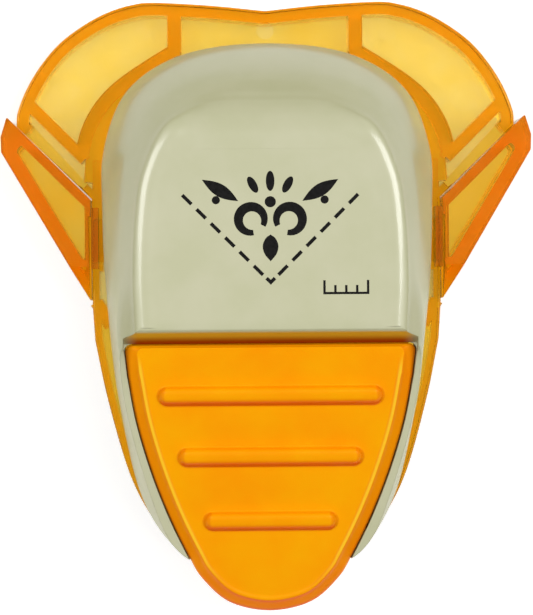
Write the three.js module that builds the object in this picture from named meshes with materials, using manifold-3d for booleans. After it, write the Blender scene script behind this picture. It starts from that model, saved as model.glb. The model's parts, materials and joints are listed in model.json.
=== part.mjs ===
// A lever-type decorative corner punch for paper, in millimetres.
// +Z is up, +Y points to the side where the paper's corner goes in, and the lever's tip is at -Y.
// The base stands on z = 0 and the whole part is centred on x = y = 0.
import * as THREE from 'three';
import { mergeVertices } from 'three/addons/utils/BufferGeometryUtils.js';
import Module from 'manifold-3d';

const wasm = await Module();
wasm.setup();

// ---------------------------------------------------------------- driving dimensions

const GAP = 0.3;                 // clearance between neighbouring pieces
const PAPER_PLANE = 9;           // top of the base and of the die, where the paper lies
const PAPER_SLOT = 1.6;          // height of the slot that the paper's corner slides into
const CORNER_Y = -15.3;          // where the two paper edges meet, on the centre line
const WEB = 1.6;                 // thickness of the base's top skin
const WALL = 2.6;                // thickness of the base's walls
const GUIDE_TOP = 15;            // top of the two paper guides
const SHELL_TOP = 46;
const SHELL_WALL = 2;
const PIVOT_Y = 33;              // the lever's pivot, at the back of the mechanism
const PIVOT_Z = 34.5;
const PRESS_Y = 2.6;             // where the lever bears on the punch
const LEVER_REAR_Y = -8.5;       // the paddle's back edge
const LEVER_TIP_Y = -64.6;
const LEVER_REAR_Z = 41;         // the paddle's top surface at its back edge
const LEVER_SLOPE = 0.303;       // drop of that surface per millimetre toward the tip
const DIE = { x: 28.5, front: -22.5, back: 22, bottom: 6 };
const WELL = { x: 21.5, front: -16.5, back: 19 };
const PLATE_TOP = 14.6;          // top of the plate that guides the punch's teeth
const DIE_LEDGE = PAPER_PLANE + PAPER_SLOT;   // underside of that plate
const CHEEK = { inner: 20.5, outer: 22.5 };
const PUNCH = { x: 20, front: -13.5, back: 18, bottom: 22, top: 28.8, teeth: 10.9 };
const ARM = { x: 17.5, bottom: 31, top: 37.5 };
const POST = { x: 16, y: -8.5, radius: 1.7, head: 2.9, bottom: 11.3, shoulder: 24.3, top: 26 };
const POST_SPOTS = [-1, 1].map((side) => [side * POST.x, POST.y]);
const WEAR_PLATE = { x: 12, front: -4, back: 9, thickness: 1 };
const GUIDE_TAB = { x: 36, half: 2.1, front: 9, back: 18, low: 3, high: 6 };
const CLIP_X = 23.6;             // middle of each retaining clip and of its groove in the pin
const BORE_RADIUS = 2.7;         // the lever's and the bushes' bore about the pin

// Screws through the base, from below: those that hold the die, and those that hold the shell.
const FRAME_SCREWS = [[-22, -19.5], [22, -19.5], [-25.2, 0], [25.2, 0]];
const SHELL_SCREWS = [[-25.5, -29], [25.5, -29], [-14.5, -45], [14.5, -45]];
const FRAME_SCREW = { head: 2.5, shank: 1.4, tip: 13.6, hole: 13.9 };
const SHELL_SCREW = { head: 2.4, shank: 1.25, tip: 14.1, hole: 14.4 };
const SCREW_HEAD = [1.2, 3];     // bottom and top of every screw's head
const CLEARANCE_HOLE = 1.7;      // radius of a hole that a shank passes through
const COUNTERBORE = 2.8;         // radius of the recess for a head
const PILOT_HOLE = 1.55;         // radius of the hole that a shell screw cuts its thread in

// Heights and reaches well outside the part, for cutting through all of it.
const BELOW = -1;
const ABOVE = 60;
const BEYOND = 70;

// ---------------------------------------------------------------- materials

const plastic = (color, roughness) => new THREE.MeshStandardMaterial({ color, roughness, metalness: 0 });
const metal = (color, roughness) => new THREE.MeshStandardMaterial({ color, roughness, metalness: 1 });
const AMBER = plastic(0xf0a81e, 0.3);
const CREAM = plastic(0xcccdae, 0.4);
const ORANGE = plastic(0xfca002, 0.35);
const STEEL = metal(0xa9abad, 0.35);
const GROUND_STEEL = metal(0xc4c6c8, 0.25);
const BRASS = metal(0xb58e4a, 0.35);
const DARK_STEEL = metal(0x55575a, 0.4);

// ---------------------------------------------------------------- solids

function solid(geometry) {
  const plain = geometry.clone();
  plain.deleteAttribute('normal');
  plain.deleteAttribute('uv');
  const merged = mergeVertices(plain, 1e-4);
  return new wasm.Manifold(new wasm.Mesh({
    numProp: 3,
    vertProperties: new Float32Array(merged.attributes.position.array),
    triVerts: new Uint32Array(merged.index.array),
  }));
}

function mesh(name, body, material) {
  const data = body.getMesh();
  const geometry = new THREE.BufferGeometry();
  geometry.setAttribute('position', new THREE.BufferAttribute(data.vertProperties, 3));
  geometry.setIndex(new THREE.BufferAttribute(data.triVerts, 1));
  geometry.computeVertexNormals();
  const result = new THREE.Mesh(geometry, material);
  result.name = name;
  return result;
}

const together = (bodies) => bodies.reduce((sum, body) => sum.add(body));

function box([x0, x1], [y0, y1], [z0, z1]) {
  const geometry = new THREE.BoxGeometry(x1 - x0, y1 - y0, z1 - z0);
  return solid(geometry.translate((x0 + x1) / 2, (y0 + y1) / 2, (z0 + z1) / 2));
}

function uprightCylinder(radius, [z0, z1], [x, y], sides = 16) {
  const geometry = new THREE.CylinderGeometry(radius, radius, z1 - z0, sides);
  return solid(geometry.rotateX(Math.PI / 2).translate(x, y, (z0 + z1) / 2));
}

function crossCylinder(radius, [x0, x1], [y, z], sides = 24) {
  const geometry = new THREE.CylinderGeometry(radius, radius, x1 - x0, sides);
  return solid(geometry.rotateZ(Math.PI / 2).translate((x0 + x1) / 2, y, z));
}

// A flat outline, extruded upward from z0 to z1.
function prism(outline, [z0, z1]) {
  const options = { depth: z1 - z0, bevelEnabled: false, curveSegments: 8 };
  const shape = outline instanceof THREE.Shape ? outline : new THREE.Shape(outline);
  return solid(new THREE.ExtrudeGeometry(shape, options).translate(0, 0, z0));
}

// A side profile of (y, z) points, extruded across the part from x0 to x1.
function sideProfile(points, [x0, x1]) {
  const shape = new THREE.Shape(points.map(([y, z]) => new THREE.Vector2(y, z)));
  const geometry = new THREE.ExtrudeGeometry(shape, { depth: x1 - x0, bevelEnabled: false });
  const turn = new THREE.Matrix4().makeBasis(
    new THREE.Vector3(0, 1, 0), new THREE.Vector3(0, 0, 1), new THREE.Vector3(1, 0, 0));
  return solid(geometry.applyMatrix4(turn).translate(x0, 0, 0));
}

const vectors = (points) => points.map(([x, y]) => new THREE.Vector2(x, y));

// A half outline, listed from the front of the part to the back, joined to its mirror image.
function mirrored(half) {
  const other = half.filter((point) => point.x > 1e-6).reverse();
  return [...half, ...other.map((point) => new THREE.Vector2(-point.x, point.y))];
}

// A smooth closed ring through a half outline's points and their mirror images.
function smoothRing(half, count) {
  const knots = mirrored(vectors(half)).map((point) => new THREE.Vector3(point.x, point.y, 0));
  const curve = new THREE.CatmullRomCurve3(knots, true, 'centripetal');
  return curve.getPoints(count).slice(0, count).map((point) => new THREE.Vector2(point.x, point.y));
}

// The outline moved outward by a distance, or inward where it is negative.
function offset(outline, distance) {
  const count = outline.length;
  return outline.map((point, i) => {
    const before = point.clone().sub(outline[(i + count - 1) % count]).normalize();
    const after = outline[(i + 1) % count].clone().sub(point).normalize();
    const normal = new THREE.Vector2(before.y + after.y, -before.x - after.x).normalize();
    const stretch = 1 / Math.max(0.5, normal.x * before.y - normal.y * before.x);
    return point.clone().addScaledVector(normal, distance * stretch);
  });
}

// A strip of one width along an open line of points.
function strip(points, width) {
  const line = vectors(points);
  const side = (sign) => line.map((point, i) => {
    const from = line[Math.max(0, i - 1)];
    const to = line[Math.min(line.length - 1, i + 1)];
    const along = to.clone().sub(from).normalize();
    return new THREE.Vector2(point.x + sign * along.y * width / 2, point.y - sign * along.x * width / 2);
  });
  return [...side(1), ...side(-1).reverse()];
}

// A closed skin over rings of equal length, from the lowest to the highest.
function loft(levels) {
  const count = levels[0].ring.length;
  const positions = levels.flatMap(({ ring, z }) => ring.flatMap((point) => [point.x, point.y, z]));
  const index = [];
  for (let level = 0; level < levels.length - 1; level += 1) {
    for (let i = 0; i < count; i += 1) {
      const low = level * count + i;
      const lowNext = level * count + (i + 1) % count;
      index.push(low, lowNext, lowNext + count, low, lowNext + count, low + count);
    }
  }
  const last = (levels.length - 1) * count;
  const faces = (ring) => THREE.ShapeUtils.triangulateShape(ring, []);
  for (const [a, b, c] of faces(levels[0].ring)) index.push(a, c, b);
  for (const [a, b, c] of faces(levels[levels.length - 1].ring)) index.push(last + a, last + b, last + c);
  const geometry = new THREE.BufferGeometry();
  geometry.setAttribute('position', new THREE.Float32BufferAttribute(positions, 3));
  geometry.setIndex(index);
  return solid(geometry);
}

const bothSides = (make) => make(1).add(make(-1));

// ---------------------------------------------------------------- the corner ornament

// Each outline is one tooth of the punch and, a little larger, one hole of the die.
function ellipse(x, y, halfWidth, halfLength, turn, points = 12) {
  return Array.from({ length: points }, (_, i) => {
    const angle = i * 2 * Math.PI / points;
    const spot = new THREE.Vector2(halfWidth * Math.cos(angle), halfLength * Math.sin(angle));
    return spot.rotateAround(new THREE.Vector2(), turn).add(new THREE.Vector2(x, y));
  });
}

// A crescent: an arc that swells toward its middle and ends blunt.
function crescent(x, y, radius, thickness, from, to, points = 9) {
  const edge = (side) => Array.from({ length: points }, (_, i) => {
    const along = i / (points - 1);
    const angle = from + (to - from) * along;
    const half = thickness * (0.28 + 0.22 * Math.sin(Math.PI * along));
    const reach = radius + side * half;
    return new THREE.Vector2(x + reach * Math.cos(angle), y + reach * Math.sin(angle));
  });
  const outline = [...edge(1), ...edge(-1).reverse()];
  return THREE.ShapeUtils.isClockWise(outline) ? outline.reverse() : outline;
}

// A leaf, pointed at both ends, from its stalk to its tip.
function leaf(stalk, tip, bulge, points = 6) {
  const start = new THREE.Vector2(...stalk);
  const along = new THREE.Vector2(...tip).sub(start);
  const across = new THREE.Vector2(-along.y, along.x).normalize();
  const edge = (side) => Array.from({ length: points }, (_, i) => {
    const t = i / points;
    const spot = start.clone().addScaledVector(along, side > 0 ? t : 1 - t);
    return spot.addScaledVector(across, -side * bulge * Math.sin(Math.PI * (side > 0 ? t : 1 - t)));
  });
  return [...edge(1), ...edge(-1)];
}

function ornament() {
  const bud = [[0, -9.6], [1.6, -7.6], [2.1, -5.4], [1.3, -3.4], [0, -2.4]];
  const centre = [
    mirrored(vectors(bud)),
    ellipse(0, 6.4, 1.5, 1.5, 0, 14),
    ellipse(0, 12, 1.15, 2.7, 0),
  ];
  const side = [
    crescent(5.1, 1.6, 3.5, 2.6, Math.PI * 1.15, -Math.PI * 0.55),
    ellipse(4.7, 11, 1.1, 2.4, -0.5),
    leaf([8.6, 6.6], [18.3, 12.4], 1.7),
    ellipse(14.6, 6.9, 1.1, 1.1, 0),
  ];
  const flip = (outline) => outline.map((point) => new THREE.Vector2(-point.x, point.y)).reverse();
  return [...centre, ...side, ...side.map(flip)];
}

const ORNAMENT = ornament();
function ornamentPrisms(grow, span) {
  return together(ORNAMENT.map((outline) => prism(offset(outline, grow), span)));
}

// ---------------------------------------------------------------- base and paper guides

// The tray's outer edge, from the paper guides' fence line to the back of the part.
const TRAY_EDGE = [[53.2, 41.1], [50.9, 46.2], [47.5, 51.4], [42.4, 56.5], [38, 59.9],
  [33.2, 62.5], [28.5, 64.1], [23.8, 64.6], [11.5, 63.9], [0, 62.7]];
const BASE_FRONT = [[0, -57.9], [9, -56.9], [16, -54.2], [21.3, -50.2], [25.2, -45.5], [29.8, -36.2],
  [34.2, -20.8], [36.9, -7.9]];
const BASE_SIDE = [[37.4, 0], [37.4, 22.5]];
const FENCE_X = 53.4;            // the outer end of the straight edge that meets a paper guide
// Ribs under the tray's top skin: a line of points and the rib's width.
const TRAY_RIBS = [
  { line: [[19.5, 54], [19.5, 63.5]], width: 2.9 },
  { line: [[18.5, 54.6], [20.7, 53.8], [29.6, 48.1], [34.7, 43.5], [38.1, 37.9], [39.9, 31.5]], width: WALL },
  { line: [[50.6, 42.8], [38.9, 31.1]], width: 2.5 },
];
const FENCE_STRIP = [[40, 24], [52, 36], [49, 39.5], [37, 27.5]];
const SEAT_WALL = 2;             // the wall about the die's pocket
const BOSS_RADIUS = 3.6;
const RIB_OVERLAP = 0.5;         // how far ribs and bosses run into the top skin
const FENCE_GAP = GAP * Math.SQRT2;

// A smooth open line through the points of a half outline that starts on the centre line.
function smoothHalf(points, pointsPerKnot) {
  const knots = vectors([[-points[1][0], points[1][1]], ...points]);
  const count = (knots.length - 1) * pointsPerKnot;
  const line = new THREE.SplineCurve(knots).getPoints(count).slice(pointsPerKnot);
  line[0].x = 0;
  return line;
}

const onSide = (points, side) => vectors(points.map(([x, y]) => [x * side, y]));

function baseTray() {
  const fenceEnd = [FENCE_X, FENCE_X + CORNER_Y + FENCE_GAP];
  const rest = vectors([...BASE_SIDE, fenceEnd, ...TRAY_EDGE]);
  const outline = mirrored([...smoothHalf(BASE_FRONT, 2), ...rest]);
  const under = PAPER_PLANE - WEB;
  const ribSpan = [0, under + RIB_OVERLAP];
  const through = [BELOW, PAPER_PLANE + 1];
  const every = (spots, radius, span) => together(spots.map((spot) => uprightCylinder(radius, span, spot)));
  const allScrews = [...FRAME_SCREWS, ...SHELL_SCREWS];

  const skin = prism(outline, [0, PAPER_PLANE]);
  const fenceStrips = bothSides((side) => prism(onSide(FENCE_STRIP, side), [BELOW, under]));
  const hollow = prism(offset(outline, -WALL), [BELOW, under]).add(fenceStrips);
  const ribs = together(TRAY_RIBS.map(({ line, width }) => bothSides((side) => (
    prism(strip(line.map(([x, y]) => [x * side, y]), width), ribSpan)))));
  const seatX = DIE.x + SEAT_WALL;
  const seat = box([-seatX, seatX], [DIE.front - SEAT_WALL - 0.5, DIE.back + SEAT_WALL + 0.5], ribSpan);
  const bosses = every(SHELL_SCREWS, BOSS_RADIUS, ribSpan);

  const pocket = box([-DIE.x - GAP, DIE.x + GAP], [DIE.front - GAP, DIE.back + GAP],
    [DIE.bottom, through[1]]);
  const well = box([-WELL.x, WELL.x], [WELL.front, WELL.back], through);
  const shanks = every(allScrews, CLEARANCE_HOLE, through);
  const heads = every(allScrews, COUNTERBORE, [BELOW, SCREW_HEAD[1] + GAP]);
  const tab = GUIDE_TAB;
  const slots = bothSides((side) => box([side * tab.x - tab.half - 0.4, side * tab.x + tab.half + 0.4],
    [tab.front - GAP, tab.back + GAP], [tab.low - GAP, tab.high + GAP]));
  return skin.subtract(hollow).add(ribs).add(seat).add(bosses)
    .subtract(pocket).subtract(well).subtract(shanks).subtract(heads).subtract(slots);
}

const GUIDE_OUTLINE = [[37.7, 2], [38.4, 2], [56.3, 32.3], [56.4, 35.5], [55.1, 39.8], [37.7, 22.4]];
const GUIDE_POCKET = [[40.2, 10.8], [52, 30.6], [50.6, 31.3], [40.2, 20.9]];
// The guide's wall rises from the paper plane to its full height along this slope of (y, z).
const GUIDE_LOW_END = [[0, 9.2], [1.5, 9.2], [10, GUIDE_TOP + 0.1], [0, GUIDE_TOP + 0.1]];

// A wing with a fence that one edge of the paper runs along. It clips into the base's side.
function paperGuide(side) {
  const hollow = onSide(GUIDE_POCKET, side);
  const web = PAPER_PLANE - WEB;
  const lowEnd = sideProfile(GUIDE_LOW_END, [-BEYOND, BEYOND]);
  const innerX = side * 38.8;
  const innerEdge = box([innerX - 1.4, innerX + 1.4], [0, 18.6], [PAPER_PLANE, GUIDE_TOP + 1]);
  const { x, half, front, back, low, high } = GUIDE_TAB;
  const tab = box([side * x - half, side * x + half], [front, back], [low, high]);
  return prism(onSide(GUIDE_OUTLINE, side), [0, GUIDE_TOP]).subtract(prism(hollow, [BELOW, web]))
    .subtract(prism(hollow, [PAPER_PLANE, GUIDE_TOP + 1])).subtract(lowEnd).subtract(innerEdge).add(tab);
}

// ---------------------------------------------------------------- die, stop and punch

function screwHoles(span) {
  return together(FRAME_SCREWS.map((spot) => uprightCylinder(CLEARANCE_HOLE, span, spot)));
}

const THROUGH_PLATES = [0, 12];  // a span of heights that passes through the die and the stop plate

function diePlate() {
  const plate = box([-DIE.x, DIE.x], [DIE.front, DIE.back], [DIE.bottom, PAPER_PLANE]);
  return plate.subtract(ornamentPrisms(GAP, THROUGH_PLATES)).subtract(screwHoles(THROUGH_PLATES));
}

function cornerStopPlate() {
  const reach = DIE.x;
  const back = CORNER_Y - GAP;
  const outline = vectors([[-reach, DIE.front], [reach, DIE.front], [reach, reach + back], [0, back],
    [-reach, reach + back]]);
  return prism(outline, [PAPER_PLANE, PAPER_PLANE + PAPER_SLOT]).subtract(screwHoles(THROUGH_PLATES));
}

// The frame's upright plates, which carry the pivot, seen from the side.
const CHEEK_PROFILE = [[-3, DIE_LEDGE + 1], [20, DIE_LEDGE + 1], [29, 18], [37.4, 31.5], [38.2, 34.5],
  [36.7, 38.2], [33, 39.7], [29.3, 38.2], [22, 33], [-3, 22]];
const FRAME_PLATE = { x: 26.8, back: 20 };
const BUSH_BORE = 4.2;

function punchGuideFrame() {
  const plate = box([-FRAME_PLATE.x, FRAME_PLATE.x], [DIE.front, FRAME_PLATE.back], [DIE_LEDGE, PLATE_TOP]);
  const cheek = (side) => sideProfile(CHEEK_PROFILE, side > 0 ? [CHEEK.inner, CHEEK.outer]
    : [-CHEEK.outer, -CHEEK.inner]);
  const bores = crossCylinder(BUSH_BORE, [-30, 30], [PIVOT_Y, PIVOT_Z]);
  const posts = together(POST_SPOTS.map((spot) => (
    uprightCylinder(POST.radius + GAP, [POST.bottom - GAP, PLATE_TOP + 1], spot))));
  return plate.add(bothSides(cheek)).subtract(bores).subtract(posts)
    .subtract(ornamentPrisms(GAP, [5, 20])).subtract(screwHoles([5, FRAME_SCREW.hole]));
}

const CROWN = { x: 11.5, z: 26.8, radius: 4 };   // the rounded back that the lever pushes on

function punchBlock() {
  const body = box([-PUNCH.x, PUNCH.x], [PUNCH.front, PUNCH.back], [PUNCH.bottom, PUNCH.top]);
  const crown = crossCylinder(CROWN.radius, [-CROWN.x, CROWN.x], [PRESS_Y, CROWN.z], 32);
  const teeth = ornamentPrisms(0, [PUNCH.teeth, PUNCH.bottom + 1]);
  const bore = (radius, span) => together(POST_SPOTS.map((spot) => uprightCylinder(radius, span, spot)));
  return body.add(crown).add(teeth)
    .subtract(bore(POST.radius + GAP, [PUNCH.bottom - 2, POST.shoulder + 0.7]))
    .subtract(bore(POST.head + GAP, [POST.shoulder - GAP, PUNCH.top + 1.2]));
}

function guidePost(side) {
  const spot = [side * POST.x, POST.y];
  const head = uprightCylinder(POST.head, [POST.shoulder, POST.top], spot);
  return uprightCylinder(POST.radius, [POST.bottom, POST.shoulder + GAP], spot).add(head);
}

// The wire of a return spring, wound about a guide post.
class Coil extends THREE.Curve {
  constructor(radius, z0, z1, turns) {
    super();
    Object.assign(this, { radius, z0, z1, turns });
  }

  getPoint(t) {
    const angle = 2 * Math.PI * this.turns * t;
    const height = this.z0 + (this.z1 - this.z0) * t;
    return new THREE.Vector3(this.radius * Math.cos(angle), this.radius * Math.sin(angle), height);
  }
}

const SPRING = { radius: 2.75, wire: 0.4, turns: 3.5, sides: 6, stepsPerTurn: 10, endGap: 0.5 };

function returnSpring(side) {
  const { radius, wire, turns, sides, stepsPerTurn, endGap } = SPRING;
  const section = new THREE.Shape(Array.from({ length: sides }, (_, i) => new THREE.Vector2(
    wire * Math.cos(i * 2 * Math.PI / sides), wire * Math.sin(i * 2 * Math.PI / sides))));
  const path = new Coil(radius, PLATE_TOP + endGap, PUNCH.bottom - endGap, turns);
  const options = { steps: Math.round(turns * stepsPerTurn), bevelEnabled: false, extrudePath: path };
  return solid(new THREE.ExtrudeGeometry(section, options).translate(side * POST.x, POST.y, 0));
}

// ---------------------------------------------------------------- pivot

const PIVOT = [PIVOT_Y, PIVOT_Z];
const PIN = { radius: 2.4, half: 24.9, grooveRadius: 1.9, grooveHalf: 0.65 };
const CLIP = { radius: 4.2, bore: 2.2, half: 0.35, mouth: 1.5 };
const BUSH = { radius: 3.9, flange: 5.2, inner: 19.6, step: 20.2, outer: 22.9 };

function pivotPin() {
  const groove = (side) => {
    const span = [side * CLIP_X - PIN.grooveHalf, side * CLIP_X + PIN.grooveHalf];
    const core = crossCylinder(PIN.grooveRadius, [span[0] - 1, span[1] + 1], PIVOT, 20);
    return crossCylinder(PIN.radius + 1, span, PIVOT).subtract(core);
  };
  return crossCylinder(PIN.radius, [-PIN.half, PIN.half], PIVOT).subtract(bothSides(groove));
}

function pinClip(side) {
  const centre = side * CLIP_X;
  const across = [centre - 1, centre + 1];
  const ring = crossCylinder(CLIP.radius, [centre - CLIP.half, centre + CLIP.half], PIVOT);
  const mouth = box(across, [PIVOT_Y - CLIP.mouth, PIVOT_Y + CLIP.mouth],
    [PIVOT_Z - CLIP.radius - 1, PIVOT_Z]);
  return ring.subtract(crossCylinder(CLIP.bore, across, PIVOT, 20)).subtract(mouth);
}

function pivotBush(side) {
  const across = (from, to) => (side > 0 ? [from, to] : [-to, -from]);
  const barrel = crossCylinder(BUSH.radius, across(BUSH.inner + 0.1, BUSH.outer), PIVOT);
  const flange = crossCylinder(BUSH.flange, across(BUSH.inner, BUSH.step), PIVOT);
  const bore = crossCylinder(BORE_RADIUS, across(BUSH.inner - 1, BUSH.outer + 1), PIVOT);
  return barrel.add(flange).subtract(bore);
}

// ---------------------------------------------------------------- lever

const SKIRT_REAR_Z = 33;         // the paddle skirt's lower edge at its back, and its slope
const SKIRT_SLOPE = 0.24;
const SKIRT_WALL = 2.4;
const PADDLE_SKIN = 2.5;
const paddleTop = (y) => LEVER_REAR_Z - LEVER_SLOPE * (LEVER_REAR_Y - y);
const skirtBottom = (y) => SKIRT_REAR_Z - SKIRT_SLOPE * (LEVER_REAR_Y - y);
const PADDLE_SIDE = [[0, LEVER_TIP_Y], [8.5, -62.8], [15.8, -55.1], [21, -44.9], [24.7, -34.8], [27.6, -24.7],
  [29.2, -14.8]];
const PADDLE_REAR_X = 29.6;
const CORNER_RADIUS = 1.2;
// Grip ribs across the paddle: where each one lies, and its half length.
const GRIP_RIBS = [[-19, 22.9], [-31.7, 18.9], [-45.2, 13.7]];
const GRIP_RADIUS = 2.1;
const GRIP_SUNK = 0.9;           // how far a grip rib's axis lies below the paddle's top
const SPINE = { x: 8, half: 1, front: -58, back: -10 };
const GUSSET = { x: 15.5, half: 2 };
const BARREL = { radius: 4.8, half: 19.3 };

// The paddle seen from above, moved outward by a distance. Its two back corners are rounded.
function paddleOutline(outward, cornerRadius) {
  const side = smoothHalf(PADDLE_SIDE, 3);
  const ring = offset(mirrored([...side, new THREE.Vector2(PADDLE_REAR_X, LEVER_REAR_Y)]), outward);
  const half = ring.slice(0, side.length + 1);
  const { x, y } = half.pop();
  const steps = [[0, 1], [0.3, 0.3], [1, 0]];
  const corner = vectors(steps.map(([inX, inY]) => [x - inX * cornerRadius, y - inY * cornerRadius]));
  return mirrored([...half, ...(cornerRadius > 0 ? corner : [new THREE.Vector2(x, y)])]);
}

function lever() {
  const slab = (top, bottom) => sideProfile([[-BEYOND, top(-BEYOND)], [-BEYOND, bottom(-BEYOND)],
    [5, bottom(5)], [5, top(5)]], [-BEYOND, BEYOND]);
  const skin = prism(paddleOutline(0, CORNER_RADIUS), [0, ABOVE]).intersect(slab(paddleTop, skirtBottom));
  const inside = prism(paddleOutline(-SKIRT_WALL, 0), [0, ABOVE])
    .intersect(slab((y) => paddleTop(y) - PADDLE_SKIN, (y) => skirtBottom(y) - 3));
  const underSkin = slab((y) => paddleTop(y) - 2, skirtBottom);
  const spines = bothSides((side) => {
    const across = [side * SPINE.x - SPINE.half, side * SPINE.x + SPINE.half];
    return box(across, [SPINE.front, SPINE.back], [0, ABOVE]).intersect(underSkin);
  });
  const armPlate = box([-ARM.x, ARM.x], [-13, PIVOT_Y], [ARM.bottom, PIVOT_Z]);
  const gusset = [[PIVOT_Y - 2, ARM.bottom], [PIVOT_Y - 2, ARM.top], [-10, ARM.top], [-10, 39.2], [-36, 31.4],
    [-33, 30.6], [-14, ARM.bottom]];
  const gussets = bothSides((side) => (
    sideProfile(gusset, [side * GUSSET.x - GUSSET.half, side * GUSSET.x + GUSSET.half])));
  const barrel = crossCylinder(BARREL.radius, [-BARREL.half, BARREL.half], PIVOT);
  const gripRibs = together(GRIP_RIBS.map(([y, half]) => {
    const capsule = new THREE.CapsuleGeometry(GRIP_RADIUS, 2 * (half - GRIP_RADIUS), 3, 12);
    return solid(capsule.rotateZ(Math.PI / 2).translate(0, y, paddleTop(y) - GRIP_SUNK));
  }));
  const { x, front, back, thickness } = WEAR_PLATE;
  const wearPocket = box([-x - GAP, x + GAP], [front - GAP, back + GAP],
    [ARM.bottom - 1, ARM.bottom + thickness + GAP]);
  return skin.subtract(inside).add(spines).add(gripRibs).add(armPlate).add(gussets).add(barrel)
    .subtract(wearPocket).subtract(crossCylinder(BORE_RADIUS, [-30, 30], PIVOT));
}

function wearPlate() {
  const { x, front, back, thickness } = WEAR_PLATE;
  return box([-x, x], [front, back], [ARM.bottom, ARM.bottom + thickness]);
}

// ---------------------------------------------------------------- shell

// Three outlines of the shell, point for point: on the base, at the rim beside the lever, and
// about the top face.
const SHELL_FOOT = [[0, -57.9], [16, -54.4], [21.8, -50.3], [27.2, -41.1], [31.9, -20.6], [33.6, -8.5],
  [34.9, 5.6], [35.8, 20], [35.4, 32.7], [30.5, 45.7], [19.5, 53.4], [0, 56.2]];
const SHELL_RIM = [[0, -57.3], [15.8, -54], [20.6, -49.8], [24.5, -40.7], [29.8, -20.5], [31, -8.5],
  [32.4, 5.6], [33.3, 20], [33, 32], [28.5, 44.3], [18.5, 51.4], [0, 54]];
const SHELL_FACE = [[0, -56.3], [15, -52.9], [20.4, -49], [25.6, -40.4], [29.6, -20.3], [27.5, -8.3],
  [27.8, 4], [27.3, 17], [25.7, 26.8], [20.8, 36.2], [13, 40.2], [0, 40.8]];
// Height, and how far the dome at the back has drawn in from its foot toward its top face.
const DOME_LEVELS = [[PAPER_PLANE, 0], [20, 0.14], [30, 0.36], [37, 0.6], [41, 0.78], [43.8, 0.92],
  [45.3, 1.02], [SHELL_TOP, 1.15]];
const RIM_DROP = 0.9;            // how far the rim beside the lever lies below the paddle's top
const FLANK_CURVE = 1.3;         // above 1, the flanks beside the lever stay upright near the base
const CEILING = 43.8;
const FLOOR_TOP = 10.8;
const FRONT_WALL = { y: -6, bottom: 38.6 };
const LIP = [[-4.6, SHELL_TOP], [-6.6, 44.6], [-7.5, 42.4], [-7.9, 39.2], [-10, 39.2], [-10, 50], [-4.6, 50]];
const BULKHEAD = { front: DIE.front - 4, back: DIE.front - 2.2, top: 22 };
const SHELL_BOSS = { radius: 2.9, top: 15.5 };
const BUMPER_PAD = { x: 21.5, half: 1.4, front: 28, back: 34, bottom: 40 };

const rimHeight = (y) => paddleTop(Math.min(y, LEVER_REAR_Y)) - RIM_DROP;

// The shell's outer skin, or a skin moved inward from it.
function shellBody(inward, levels) {
  const count = 48;
  const { smoothstep, lerp } = THREE.MathUtils;
  const [foot, rim, face] = [SHELL_FOOT, SHELL_RIM, SHELL_FACE].map((outline) => smoothRing(outline, count));
  return loft(levels.map(([z, drawn]) => {
    const ring = foot.map((point, i) => {
      const dome = point.clone().lerp(face[i], drawn);
      const rise = Math.max(0, z - PAPER_PLANE) / (rimHeight(point.y) - PAPER_PLANE);
      const flank = point.clone().lerp(rim[i], Math.min(1.1, rise ** FLANK_CURVE));
      const nearLever = 1 - smoothstep(point.y, LEVER_REAR_Y, LEVER_REAR_Y + 18);
      return dome.lerp(flank, lerp(nearLever, 0, smoothstep(z, 40, 45)));
    });
    return { z, ring: offset(ring, -inward) };
  }));
}

function topShell() {
  const wide = [-40, 40];
  const skin = shellBody(0, DOME_LEVELS);
  const innerLevels = [[PAPER_PLANE - 1, 0], ...DOME_LEVELS.slice(1, 5), [CEILING, 0.9]];
  const frontWall = box(wide, [-BEYOND, FRONT_WALL.y], [FRONT_WALL.bottom, ABOVE]);
  const hollow = shellBody(SHELL_WALL, innerLevels).subtract(frontWall);
  const floor = skin.intersect(box(wide, [-BEYOND, DIE.front - 2], [PAPER_PLANE, FLOOR_TOP]));
  const leverWell = prism(paddleOutline(0.55, CORNER_RADIUS), [FLOOR_TOP, ABOVE]);
  const aboveRim = sideProfile([[-8, ABOVE], [-8, rimHeight(-8)], [-BEYOND, rimHeight(-BEYOND)],
    [-BEYOND, ABOVE]], wide);
  const lip = sideProfile(LIP, wide);
  const bulkhead = skin.intersect(box(wide, [BULKHEAD.front, BULKHEAD.back], [PAPER_PLANE, BULKHEAD.top]));
  const every = (radius, span) => together(SHELL_SCREWS.map((spot) => uprightCylinder(radius, span, spot)));
  const bosses = every(SHELL_BOSS.radius, [PAPER_PLANE, SHELL_BOSS.top]);
  const holes = every(PILOT_HOLE, [5, SHELL_SCREW.hole]);
  const pad = BUMPER_PAD;
  const pads = bothSides((side) => box([side * pad.x - pad.half, side * pad.x + pad.half],
    [pad.front, pad.back], [pad.bottom, CEILING + 1]));
  const back = CORNER_Y - 2 * GAP;
  const slot = prism(vectors([[0, back], [BEYOND, BEYOND + back], [BEYOND, BEYOND + 10],
    [-BEYOND, BEYOND + 10], [-BEYOND, BEYOND + back]]), [5, DIE_LEDGE + 0.4]);
  return skin.subtract(hollow).add(floor).subtract(leverWell).subtract(aboveRim).subtract(lip)
    .add(bulkhead).add(bosses).subtract(holes).add(pads).subtract(slot);
}

// ---------------------------------------------------------------- screws

const DRIVE = { reach: 1.4, half: 0.35, depth: 0.8 };   // the cross recess in a screw's head

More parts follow.
